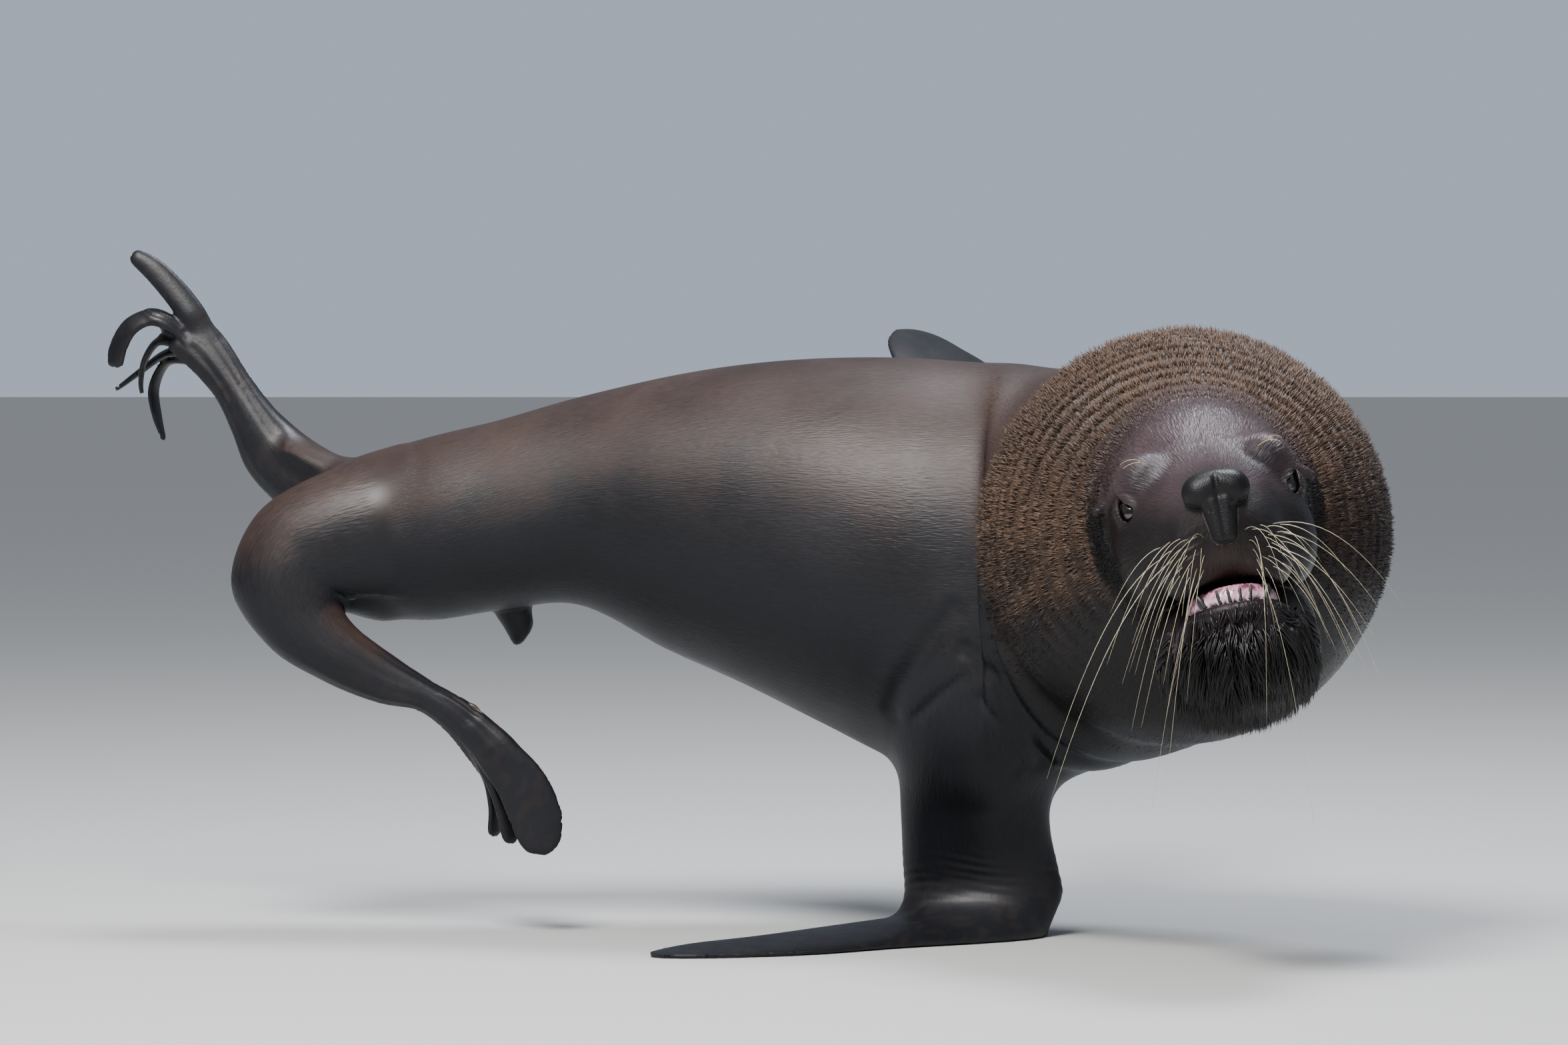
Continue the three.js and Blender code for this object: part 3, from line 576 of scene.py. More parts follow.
def settle(field, p, times=1):
    """Points moved onto the zero of a distance field."""
    for _ in range(times):
        g = gradient(field, p)
        move = -field(p) / np.maximum(dot(g, g), 0.2)
        p = p + g * np.clip(move, -4 * MM, 4 * MM)[:, None]
    return p


def surface_net(field, low, high, step):
    """Quads of the field's zero surface, found on grids that halve down to `step`."""
    levels = 4
    cells = np.ceil((high - low) / (step * 2 ** (levels - 1))).astype(int)
    wanted = np.ones(cells + 1, bool)
    for level in reversed(range(levels)):
        size = step * 2 ** level
        index = np.argwhere(wanted)
        values = np.full(wanted.shape, np.float32(np.nan))
        values[tuple(index.T)] = field(low + index * size)
        if level:
            close = np.abs(values) < size * 1.5 * 1.3
            fine_shape = (np.array(wanted.shape) - 1) * 2 + 1
            wanted = np.zeros(fine_shape, bool)
            seeds = np.argwhere(close) * 2
            for dx in (-1, 0, 1):
                for dy in (-1, 0, 1):
                    for dz in (-1, 0, 1):
                        at = np.clip(seeds + (dx, dy, dz), 0, fine_shape - 1)
                        wanted[tuple(at.T)] = True
    return net(values, low, step)


def net(values, low, step):
    """Surface net of a grid whose unknown values are nan."""
    shape = np.array(values.shape)
    inside = values < 0
    known = ~np.isnan(values)
    corners = np.array([(i, j, k) for i in (0, 1) for j in (0, 1) for k in (0, 1)])

    def view(array, c):
        return array[c[0]:shape[0] - 1 + c[0], c[1]:shape[1] - 1 + c[1], c[2]:shape[2] - 1 + c[2]]
    some = np.zeros(shape - 1, bool)
    every = np.ones(shape - 1, bool)
    full = np.ones(shape - 1, bool)
    for c in corners:
        some |= view(inside, c)
        every &= view(inside, c)
        full &= view(known, c)
    cells = np.argwhere(some & ~every & full)
    cube = np.stack([values[tuple((cells + c).T)] for c in corners], axis=1)
    total = np.zeros((len(cells), 3))
    count = np.zeros(len(cells))
    for a in range(8):
        for b in range(a + 1, 8):
            if np.abs(corners[a] - corners[b]).sum() != 1:
                continue
            cut = (cube[:, a] < 0) != (cube[:, b] < 0)
            f = np.where(cut, cube[:, a] / np.where(cut, cube[:, a] - cube[:, b], 1), 0)[:, None]
            total += np.where(cut[:, None], corners[a] + f * (corners[b] - corners[a]), 0)
            count += cut
    points = low + (cells + total / count[:, None]) * step
    strides = np.array([shape[1] * shape[2], shape[2], 1])
    keys = cells @ strides
    quads = []
    for axis in range(3):
        one, two = [e for e in range(3) if e != axis]
        ahead = np.eye(3, dtype=int)
        lower = [slice(None)] * 3
        upper = [slice(None)] * 3
        lower[axis], upper[axis] = slice(0, -1), slice(1, None)
        change = inside[tuple(lower)] != inside[tuple(upper)]
        change &= known[tuple(lower)] & known[tuple(upper)]
        at = np.argwhere(change)
        at = at[(at[:, one] > 0) & (at[:, two] > 0)]
        ring = [at - ahead[one] - ahead[two], at - ahead[two], at, at - ahead[one]]
        found = []
        for cell in ring:
            key = cell @ strides
            place = np.clip(np.searchsorted(keys, key), 0, len(keys) - 1)
            found.append(np.where(keys[place] == key, place, -1))
        quad = np.stack(found, axis=1)
        flip = inside[tuple(at.T)] != (axis == 1)
        quad[~flip] = quad[~flip][:, ::-1]
        quads.append(quad[(quad >= 0).all(axis=1)])
    return points, np.concatenate(quads)


def put(name, data):
    """Object of the data, linked into the scene."""
    obj = bpy.data.objects.new(name, data)
    bpy.context.scene.collection.objects.link(obj)
    return obj


def mesh_object(name, points, faces):
    """Object from numpy points and a list of equally sided faces."""
    mesh = bpy.data.meshes.new(name)
    faces = np.asarray(faces)
    sides = faces.shape[1]
    mesh.vertices.add(len(points))
    mesh.vertices.foreach_set("co", np.asarray(points, np.float32).ravel())
    mesh.loops.add(faces.size)
    mesh.loops.foreach_set("vertex_index", faces.astype(np.int32).ravel())
    mesh.polygons.add(len(faces))
    mesh.polygons.foreach_set("loop_start", np.arange(0, faces.size, sides, dtype=np.int32))
    mesh.polygons.foreach_set("use_smooth", np.ones(len(faces), bool))
    mesh.update(calc_edges=True)
    return put(name, mesh)


# ------------------------------------------------------------------ triangles of the skin
def triangles(points, quads):
    """Quads cut along their shorter diagonals."""
    a, b, c, d = quads.T
    swap = np.linalg.norm(points[a] - points[c], axis=1) > np.linalg.norm(points[b] - points[d], axis=1)
    first = np.where(swap[:, None], np.stack([a, b, d], 1), np.stack([a, b, c], 1))
    second = np.where(swap[:, None], np.stack([b, c, d], 1), np.stack([a, c, d], 1))
    return np.concatenate([first, second])


def refine(points, faces, chosen):
    """Chosen triangles cut in four, and their neighbours cut to match."""
    count = len(points)
    edges = np.sort(faces[:, [[0, 1], [1, 2], [2, 0]]], axis=2)
    keys = edges[:, :, 0] * count + edges[:, :, 1]
    split = np.unique(keys[chosen])
    place = np.clip(np.searchsorted(split, keys), 0, len(split) - 1)
    cut = split[place] == keys
    middle = count + place
    points = np.concatenate([points, (points[split // count] + points[split % count]) / 2])
    total = cut.sum(axis=1)
    kept = [faces[total == 0]]
    # turn each triangle so that its cut edges come first
    for cuts, first in ((1, (1, 0, 0)), (2, (1, 1, 0)), (3, (1, 1, 1))):
        for turn in range(3 if cuts < 3 else 1):
            pattern = np.roll(first, turn).astype(bool)
            at = (total == cuts) & (cut == pattern).all(axis=1)
            f = np.roll(faces[at], -turn, axis=1)
            m = np.roll(middle[at], -turn, axis=1)
            if cuts == 1:
                parts = [(f[:, 0], m[:, 0], f[:, 2]), (m[:, 0], f[:, 1], f[:, 2])]
            elif cuts == 2:
                parts = [(m[:, 0], f[:, 1], m[:, 1]), (f[:, 0], m[:, 0], m[:, 1]),
                         (f[:, 0], m[:, 1], f[:, 2])]
            else:
                parts = [(f[:, 0], m[:, 0], m[:, 2]), (m[:, 0], f[:, 1], m[:, 1]),
                         (m[:, 2], m[:, 1], f[:, 2]), (m[:, 0], m[:, 1], m[:, 2])]
            kept += [np.stack(part, axis=1) for part in parts]
    return points, np.concatenate(kept), np.arange(count, len(points))


def neighbours(points, faces):
    """Mean of the points round each point."""
    a, b = np.concatenate([faces[:, [0, 1]], faces[:, [1, 2]], faces[:, [2, 0]]]).T
    count = np.bincount(a, minlength=len(points))
    total = np.stack([np.bincount(a, points[b, k], len(points)) for k in range(3)], axis=1)
    return total / np.maximum(count, 1)[:, None]


def vertex_normals(points, faces):
    """Normal at each point, from the triangles round it by their area."""
    a, b, c = (points[faces[:, k]] for k in range(3))
    across_face = np.cross(b - a, c - a)
    total = np.stack([np.bincount(faces.ravel(), np.repeat(across_face[:, k], 3), len(points))
                      for k in range(3)], axis=1)
    return unit(total)


# ------------------------------------------------------------------ lie of the coat, markings with painted light and shade, and unwrap
SWEEPS = [body, right_arm, left_arm, right_leg, left_leg, right_hand, tail, sheath, *right_toes, *left_toes]
HEAD = len(SWEEPS)
FACE = np.array((0, -35, 165.0))        # the hair runs away from here, in the head's frame
# corner and size of each part's patch of the unwrap: body, limbs and toes, head
CHARTS = [(0, 0, 1, 0.5)] + [(0.4 + 0.1 * (k % 6), 0.5 + k // 6 * 0.166, 0.09, 0.156)
                             for k in range(HEAD - 1)] + [(0, 0.5, 0.39, 0.49)]


class Survey:
    """What the coat does at each point: part, row of the body, lie, grain and place on the unwrap."""

    def __init__(self, p):
        n = len(p)
        self.q = to_head(p)
        self.part = np.zeros(n, int)
        self.row = np.zeros(n)
        self.travel = np.zeros(n)
        self.lie = np.zeros((n, 3))
        self.grain = np.zeros((n, 3))
        self.place = np.zeros((n, 2))
        self.nearest = np.full(n, 1.0)
        self.second = np.full(n, 1.0)
        for k, sweep in enumerate(SWEEPS):
            near = np.flatnonzero(sweep.near(p, SURVEY_REACH))
            d, row, angle, travel, along, offset = sweep.measure(p[near])
            if k == 0:
                d = d + coat_depth(row)
                self.row[near] = row
                lie = unit(offset) * ramp(row, 13, 16)[:, None] * 0.8 - along
            else:
                lie = along
            radius = np.mean(np.sqrt(sweep.half_wide * sweep.half_thick))
            grain = np.stack([radius * np.cos(angle), radius * np.sin(angle), 0.13 * travel], axis=1)
            self._take(k, near, d, travel, lie, grain, angle, travel / sweep.travel[-1])
        near = np.flatnonzero(np.linalg.norm(self.q, axis=1) < 300)
        q = self.q[near]
        from_face = q - FACE
        angle = np.arctan2(from_face[:, 1], from_face[:, 0])
        travel = np.linalg.norm(from_face, axis=1) * MM
        grain = np.stack([0.09 * np.cos(angle), 0.09 * np.sin(angle), 0.13 * travel], axis=1)
        lie = from_face * (0.5, 0.5, 1.0) @ HEAD_TURN.T
        self._take(HEAD, near, head_distance(q) * MM, travel, unit(lie), grain, angle, travel / 0.4)
        self.sure = ramp(self.second - self.nearest, 0, 14 * MM)

    def _take(self, k, near, d, travel, lie, grain, angle, share):
        self.lie[near] += lie * np.exp(-np.clip(d, -0.02, 0.2) / (9 * MM))[:, None]
        closer = d < self.nearest[near]
        self.second[near] = np.where(closer, self.nearest[near], np.minimum(self.second[near], d))
        at = near[closer]
        self.nearest[at] = d[closer]
        self.part[at] = k
        self.travel[at] = travel[closer]
        self.grain[at] = grain[closer]
        x, y, wide, high = CHARTS[k]
        self.place[at] = np.stack([x + wide * np.clip(share[closer], 0, 1),
                                   y + high * (angle[closer] / (2 * math.pi) + 0.5)], axis=1)


def shade(red, green, blue):
    """Linear colour from screen values up to 255."""
    return np.array([((c / 255 + 0.055) / 1.055) ** 2.4 for c in (red, green, blue)])


def mix(a, b, t):
    t = np.asarray(t)[:, None]
    return a * (1 - t) + b * t


def all_over(points, colour):
    """One colour for every point."""
    return np.tile(colour, (len(points), 1))


def patchy(p, size, seed):
    """Smooth waves with no plain repeat, from 0 to 1."""
    turn = np.array(((0.61, 0.67, -0.43), (-0.79, 0.54, 0.29), (0.42, 0.16, 0.89)))
    total, scale = np.zeros(len(p)), 1.0
    for octave in range(3):
        w = p @ turn.T * (6.3 / size / scale) + seed * 1.7 + octave
        total += scale * np.sin(w[:, 0] + 1.3 * np.sin(w[:, 1])) * np.sin(w[:, 1] + 1.1 * np.sin(w[:, 2]))
        scale *= 0.55
    return 0.5 + 0.5 * np.clip(total, -1, 1)


# the belly colour is a painted shade for the underside, dark and blue-grey
BACK, FLANK, SHADED_BELLY = shade(48, 37, 33), shade(26, 25, 28), shade(13, 16, 21)
# the dark ruff colour is the ruff's painted shade
SADDLE, RUFF, SHADED_RUFF = shade(54, 42, 36), shade(84, 65, 52), shade(25, 22, 22)
# the forehead colour is its fur made lighter by a painted sheen
FOREHEAD_WITH_SHEEN, CHEEK = shade(60, 48, 50), shade(18, 15, 15)
MUZZLE, NOSE_GREY = shade(38, 27, 24), shade(13, 12, 14)
BROW, BRIDGE = shade(15, 14, 19), shade(40, 32, 33)
FLIPPER_GREY, FLIPPER_BROWN = shade(20, 21, 25), shade(33, 28, 28)
THROAT = shade(22, 22, 26)
BEARD_DARK, LIP_DARK = shade(15, 13, 13), shade(26, 20, 22)


def colours_and_painted_light(p, normal, survey):
    """Colour of skin and coat alike: markings, with painted light and shade laid over them."""
    # painted light and shade: the coat is painted lighter where it faces up, as if sunlit, and darker down to
    # the painted shade of the belly where it faces down
    up = ramp(normal[:, 2], -0.55, 0.75)
    sunlit = ramp(up + 0.25 * patchy(p, 0.35, 1) - 0.12, 0.45, 1)
    colour = mix(mix(SHADED_BELLY, FLANK, ramp(up, 0, 0.5)), BACK, sunlit)
    hip = bump(p[:, 0], -0.56, 0.16) * ramp(patchy(p, 0.22, 4), 0.45, 0.8) * ramp(up, 0.2, 0.5)
    colour = mix(colour, SADDLE, 0.3 * hip)
    # painted light and shade on the ruff: painted lit brown above and on its near side, and dark painted shade
    # below and on the far side
    mane = ramp(survey.row + 0.5 * (patchy(p, 0.11, 7) - 0.5), 12.5, 14.2) * (survey.part == 0)
    far_side = ramp(p[:, 0], 0.38, 0.53) * ramp(0.66 - p[:, 2], -0.1, 0.1)
    lit = ramp(p[:, 2] + 0.12 * (patchy(p, 0.14, 8) - 0.5), 0.30, 0.64) * (1 - 0.75 * far_side)
    colour = mix(colour, mix(SHADED_RUFF, RUFF, np.clip(lit * (0.75 + 0.5 * patchy(p, 0.06, 2)), 0, 1)), mane)
    colour = mix(colour, THROAT, mane * sleek(p))
    x, y, z = survey.q.T
    head = (survey.part == HEAD).astype(float)
    # painted light: the face runs from dark cheeks up to a forehead made lighter by a painted sheen
    face = mix(all_over(p, CHEEK), FOREHEAD_WITH_SHEEN, ramp(y + 0.3 * z, -30, 50))
    face = mix(face, RUFF, 0.45 * ramp(-z, 30, 90) * ramp(y, 0, 60))
    dark_brow = bump(np.abs(x), 78, 30) * bump(y, 26, 26) * ramp(z, 0, 40)
    face = mix(face, BROW, 0.8 * dark_brow)
    face = mix(face, MUZZLE, bump(x, 0, 40) * bump(y, -118, 26) * ramp(z, 60, 110))
    face = mix(face, BRIDGE, bump(x, 0, 34) * bump(y, 4, 26) * ramp(z, 70, 110))
    face = mix(face, LIP_DARK, ramp(-y, 138, 156) * ramp(z, 0, 40))
    face = mix(face, BEARD_DARK, ramp(-y, 186, 206))
    colour = mix(colour, face, head)
    bare = bareness(survey)
    paw = mix(all_over(p, FLIPPER_GREY), FLIPPER_BROWN, 0.6 * ramp(patchy(p, 0.05, 3), 0.5, 0.9))
    colour = mix(colour, paw, bare)
    m = mirrored(survey.q[head > 0])
    nose = np.zeros(len(p))
    nose[head > 0] = ramp(-nose_distance(survey.q[head > 0], m), -3.0, -0.5)
    colour = mix(colour, NOSE_GREY, nose)
    return colour, bare, nose


def bareness(survey):
    """1 on the naked leather of the flippers, 0 on the coat."""
    palms = [SWEEPS.index(sweep) for sweep in (right_hand, *right_toes, *left_toes)]
    bare = np.isin(survey.part, palms).astype(float)
    for limb, low, high in ((right_arm, 0.34, 0.46), (left_arm, 0.36, 0.46), (right_leg, 0.30, 0.42),
                            (left_leg, 0.12, 0.22), (sheath, 0.05, 0.09)):
        bare = np.where(survey.part == SWEEPS.index(limb), ramp(survey.travel, low, high), bare)
    return bare


def undercoat(colour, survey):
    """Colour of the skin, darker where the mane shades its roots."""
    return colour * (1 - 0.6 * ramp(survey.row, 12.8, 14.0) * (survey.part == 0))[:, None]


def colour_layer(mesh, name, values):
    layer = mesh.attributes.new(name, "FLOAT_COLOR", "POINT")
    values = np.concatenate([values, np.ones((len(values), 1))], axis=1)
    layer.data.foreach_set("color", values.astype(np.float32).ravel())


def vector_layer(mesh, name, values):
    layer = mesh.attributes.new(name, "FLOAT_VECTOR", "POINT")
    layer.data.foreach_set("vector", values.astype(np.float32).ravel())


# ------------------------------------------------------------------ the skin
low = np.array(cad_box[0]) - 0.03
high = np.array(cad_box[1]) + 0.03
points, quads = surface_net(skin_distance, low, high, SKIN_STEP)
points = settle(skin_distance, points)
faces = triangles(points, quads)
# toes, webs and flipper blades are thinner than the grid can follow, so they are cut finer
thin = (*right_toes, *left_toes, left_web, right_hand)


def on_blade(p):
    """Where the held-out fore flipper is too thin to be smoothed."""
    return left_arm.near(p, 8 * MM) & (p[:, 1] > 0.46)


def on_thin(p):
    return on_blade(p) | np.any([sweep.near(p, 8 * MM) for sweep in thin], axis=0)


points, faces, _ = refine(points, faces, on_thin(points[faces].mean(axis=1)))
fine = np.flatnonzero(on_thin(points) & ~on_blade(points))
blade = np.flatnonzero(on_blade(points))
points[blade] = settle(skin_distance, points[blade])
for _ in range(2):
    points[fine] = 0.6 * points[fine] + 0.4 * neighbours(points, faces)[fine]
    points[fine] = settle(skin_distance, points[fine])
# the head is cut finer once, and the eyes and muzzle twice
for cuts in (1, 2):
    q = to_head(points[faces].mean(axis=1))
    m = np.abs(q[:, 0])
    chosen = (np.linalg.norm(q * (1, 0.8, 1) - (0, -40, 0), axis=1) < 220) & (q[:, 2] > -75)
    if cuts == 2:
        eyes = np.linalg.norm(np.stack([m, q[:, 1], q[:, 2]], 1) - (102, -10, 24), axis=1) < 42
        front = (q[:, 2] > 96) & (m < 62)
        chosen &= eyes | front
    points, faces, added = refine(points, faces, chosen)
    points[added] = settle(skin_distance, points[added], 2)
normals = vertex_normals(points, faces)
skin_survey = Survey(points)
skin = mesh_object("skin", points, faces)
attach(skin, "root")
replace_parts(skin, "trunk", "neck", "forearm_right", "hand_right", "forearm_left", "hand_left", "shank_right",
            "foot_right", "shank_left", "foot_left", "tail", "sheath", "head", "jaw", "nose", "ear_left",
            "ear_right")
skin_colour, skin_bare, skin_nose = colours_and_painted_light(points, normals, skin_survey)
colour_layer(skin.data, "tone", undercoat(skin_colour, skin_survey))
face_layer = skin.data.attributes.new("face", "FLOAT", "POINT")
face_layer.data.foreach_set("value", (skin_survey.part == HEAD).astype(np.float32))
vector_layer(skin.data, "grain", skin_survey.grain)
vector_layer(skin.data, "kind", np.stack([skin_survey.sure * (1 - skin_bare) * (1 - skin_nose), skin_bare,
                                          skin_nose], axis=1))


# ------------------------------------------------------------------ tufts
class Tufts:
    """Roots scattered over the skin's triangles, with the survey of each."""

    def __init__(self, count, weight):
        corners = points[faces]
        area = np.linalg.norm(np.cross(corners[:, 1] - corners[:, 0], corners[:, 2] - corners[:, 0]), axis=1)
        total = np.cumsum(area * weight)
        pick = np.searchsorted(total, random.random(int(count * TUFT_SHARE)) * total[-1])
        u, v = random.random((2, len(pick)))
        over = u + v > 1
        u, v = np.where(over, 1 - u, u)[:, None], np.where(over, 1 - v, v)[:, None]
        f = faces[pick]
        self.root = points[f[:, 0]] * (1 - u - v) + points[f[:, 1]] * u + points[f[:, 2]] * v
        self.normal = unit(normals[f[:, 0]] * (1 - u - v) + normals[f[:, 1]] * u + normals[f[:, 2]] * v)
        self.survey = Survey(self.root)
        self.colour = colours_and_painted_light(self.root, self.normal, self.survey)[0]
        lie = self.survey.lie
        self.lie = unit(lie - dot(lie, self.normal)[:, None] * self.normal)

    def keep(self, mask):
        """Drop the roots that the mask leaves out."""
        for name in ("root", "normal", "colour", "lie"):
            setattr(self, name, getattr(self, name)[mask])
        for name, value in vars(self.survey).items():
            setattr(self.survey, name, value[mask])

    def grow(self, name, length, width, stand, end_stand, levels, dark, light, sway=0.18,
             pull=None, locks=0):
        """Closed three-sided blades from root to tip, `stand` degrees from the skin, as joined meshes.

        `pull` bends the tips one way, and `locks` gathers them into that many wet points.
        """
        n = len(self.root)
        side = unit(np.cross(self.lie, self.normal))
        lie = unit(self.lie + side * random.normal(0, sway, (n, 1)))
        stand, end_stand = np.radians(stand)[:, None], np.radians(end_stand)[:, None]
        start = lie * np.cos(stand) + self.normal * np.sin(stand)
        end = lie * np.cos(end_stand) + self.normal * np.sin(end_stand)
        if pull is not None:
            end = unit(end + pull)
        gather = np.zeros((n, 3))
        if locks:
            middles = self.root[random.integers(0, n, locks)]
            apart = np.linalg.norm(self.root[:, None] - middles[None], axis=2)
            gather = (middles[apart.argmin(axis=1)] - self.root) * 0.95
        across_blade = unit(np.cross(start, self.normal + 0.3 * side))
        verts, shades = [], []
        steps = np.linspace(0, 1, levels + 1)
        for t in steps:
            centre = self.root - self.normal * TUFT_ROOT + gather * t ** 1.5
            centre = centre + length[:, None] * (start * t + (end - start) * t * t / 2)
            colour = self.colour * (dark + (light - dark) * t)
            if t == 1:
                verts.append(centre[:, None])
                shades.append(colour[:, None])
                continue
            up = unit(np.cross(across_blade, start * (1 - t) + end * t))
            w = (width * (1 - 0.75 * t ** 1.5) / 2)[:, None]
            verts.append(np.stack([centre - across_blade * w, centre + across_blade * w, centre + up * w], 1))
            shades.append(np.repeat(colour[:, None], 3, axis=1))
        verts, shades = np.concatenate(verts, axis=1), np.concatenate(shades, axis=1)
        ring = [(0, 1, 2)]
        for k in range(levels - 1):
            a, b = 3 * k, 3 * k + 3
            for i, j in ((0, 1), (1, 2), (2, 0)):
                ring += [(a + i, b + j, a + j), (a + i, b + i, b + j)]
        tip = 3 * levels
        ring += [(tip - 3 + i, tip, tip - 3 + j) for i, j in ((0, 1), (1, 2), (2, 0))]
        ring = np.array(ring)
        corner = np.concatenate([np.tile([(0, 0), (1, 0), (0.5, 0.3)], (levels, 1)), [(0.5, 0)]])
        corner[:, 1] += np.concatenate([np.repeat(steps[:-1], 3) * 0.7, [1]])
        patch = self.survey.place[:, None] + (corner - 0.5) * PATCH
        most = MOST_TRIANGLES // len(ring)
        for number, first in enumerate(range(0, n, most), start=1):
            part = slice(first, min(n, first + most))
            block = verts[part]
            index = (np.arange(len(block)) * block.shape[1])[:, None, None] + ring
            piece = mesh_object(f"{name}_{number}", block.reshape(-1, 3), index.reshape(-1, 3))
            colour_layer(piece.data, "tone", shades[part].reshape(-1, 3))
            uv = piece.data.uv_layers.new(name="OFBake")
            uv.data.foreach_set("uv", patch[part][:, ring].astype(np.float32).ravel())
            piece.data.materials.append(coat_material)
            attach(piece, "root")


# ------------------------------------------------------------------ materials
class Nodes:
    """A material and short ways to add its nodes."""

    def __init__(self, name):
        self.material = bpy.data.materials.new(name)
        self.material.use_nodes = True
        self.tree = self.material.node_tree
        self.shader = self.tree.nodes["Principled BSDF"]

    def add(self, kind, **values):
        node = self.tree.nodes.new("ShaderNode" + kind)
        for key, value in values.items():
            if hasattr(node, key):
                setattr(node, key, value)
            else:
                self.feed(node.inputs[key.replace("_", " ").title()], value)
        return node

    def feed(self, socket, value):
        if isinstance(value, bpy.types.NodeSocket):
            self.tree.links.new(value, socket)
        else:
            socket.default_value = value

    def math(self, operation, *values):
        node = self.add("Math", operation=operation)
        for socket, value in zip(node.inputs, values):
            self.feed(socket, value)
        return node.outputs[0]

    def layer(self, name, output="Vector"):
        return self.add("Attribute", attribute_name=name).outputs[output]

    def noise(self, vector, scale, detail=2.0):
        return self.add("TexNoise", vector=vector, scale=scale, detail=detail).outputs["Fac"]

    def remap(self, value, low, high, to_low, to_high):
        node = self.add("MapRange")
        for key, number in (("Value", value), ("From Min", low), ("From Max", high), ("To Min", to_low),
                            ("To Max", to_high)):
            self.feed(node.inputs[key], number)
        return node.outputs[0]

    def tint(self, colour, factor):
        """Colour made lighter or darker by a factor."""
        node = self.add("VectorMath", operation="SCALE")
        self.feed(node.inputs[0], colour)
        self.feed(node.inputs["Scale"], factor)
        return node.outputs[0]

    def bump(self, height, distance):
        node = self.add("Bump", distance=distance)
        self.feed(node.inputs["Height"], height)
        return node.outputs[0]

    def place(self):
        return self.add("TexCoord").outputs["Object"]

    def finish(self, **values):
        for key, value in values.items():
            name = "Specular IOR Level" if key == "specular" else key.replace("_", " ").title()
            self.feed(self.shader.inputs[name], value)
        return self.material


def make_skin_material():
    """Short wet fur, the leather of the flippers and the nose."""
    n = Nodes("sea_lion_skin")
    place, grain = n.place(), n.layer("grain")
    kinds = n.add("SeparateXYZ")
    n.feed(kinds.inputs[0], n.layer("kind"))
    fur, bare, nose = kinds.outputs
    face = n.layer("face", "Fac")
    streaks = n.noise(grain, 620.0, 3.0)
    locks = n.noise(grain, 170.0, 2.0)
    cloud = n.noise(place, 7.0, 4.0)
    pores = n.add("TexVoronoi", vector=place, scale=520.0).outputs["Distance"]
    creases = n.noise(place, 240.0, 3.0)
    factor = n.remap(cloud, 0.3, 0.7, 0.78, 1.22)
    streak = n.math("MULTIPLY", n.math("SUBTRACT", streaks, 0.5), n.math("MULTIPLY", fur, 1.4))
    factor = n.math("MULTIPLY", factor, n.math("ADD", 1.0, streak))
    hair = n.math("MULTIPLY", n.math("ADD", streaks, n.math("MULTIPLY", locks, 0.5)), fur)
    hair = n.math("MULTIPLY", hair, n.math("ADD", 1.0, n.math("MULTIPLY", face, 2.0)))
    leather = n.math("MULTIPLY", n.math("ADD", creases, locks), n.math("MULTIPLY", bare, 0.3))
    grains = n.math("MULTIPLY", pores, n.math("MULTIPLY", nose, 0.45))
    height = n.math("ADD", n.math("ADD", hair, leather), grains)
    dry = n.math("MULTIPLY", n.math("SUBTRACT", nose, face), 0.07)
    rough = n.math("ADD", n.remap(cloud, 0.35, 0.65, 0.38, 0.5), dry)
    return n.finish(base_color=n.tint(n.layer("tone", "Color"), factor), roughness=rough,
                    normal=n.bump(height, 0.6 * MM), specular=0.25)


def make_coat_material():
    n = Nodes("sea_lion_coat")
    cloud = n.noise(n.place(), 7.0, 4.0)
    single = n.noise(n.place(), 420.0, 1.0)
    factor = n.math("MULTIPLY", n.remap(cloud, 0.3, 0.7, 0.78, 1.22), n.remap(single, 0.3, 0.7, 0.7, 1.3))
    return n.finish(base_color=n.tint(n.layer("tone", "Color"), factor),
                    roughness=n.remap(single, 0.3, 0.7, 0.36, 0.52), specular=0.35)


def make_mottled(name, scale, detail, tints, roughs, pits=0.0, **values):
    """Material whose colour comes with the mesh, mottled by one noise, with pits of a second."""
    n = Nodes(name)
    cloud = n.noise(n.place(), scale, detail)
    if pits:
        values["normal"] = n.bump(n.noise(n.place(), pits, 3.0), 0.3 * MM)
    return n.finish(base_color=n.tint(n.layer("tone", "Color"), n.remap(cloud, 0.3, 0.7, *tints)),
                    roughness=n.remap(cloud, 0.3, 0.7, *roughs), **values)


skin.data.materials.append(make_skin_material())
coat_material = make_coat_material()

# ------------------------------------------------------------------ the coat
middle = points[faces].mean(axis=1)
face_q = to_head(middle)
face_row = skin_survey.row[faces].mean(axis=1)
face_part = skin_survey.part[faces[:, 0]]
face_bare = skin_bare[faces].mean(axis=1)
face_nose = skin_nose[faces].mean(axis=1)
face_x, face_y, face_z = np.abs(face_q[:, 0]), face_q[:, 1], face_q[:, 2]
on_head = face_part == HEAD
at_eye = np.linalg.norm(np.stack([face_x, face_y, face_z], 1) - (102, -12, 27), axis=1) < 24
in_mouth = (np.abs(face_y + 158) < 22) & (face_z > 10) & (face_x < 53) & on_head
on_ear = on_head & (face_x > 122)
naked = at_eye | in_mouth | (face_nose > 0.1)

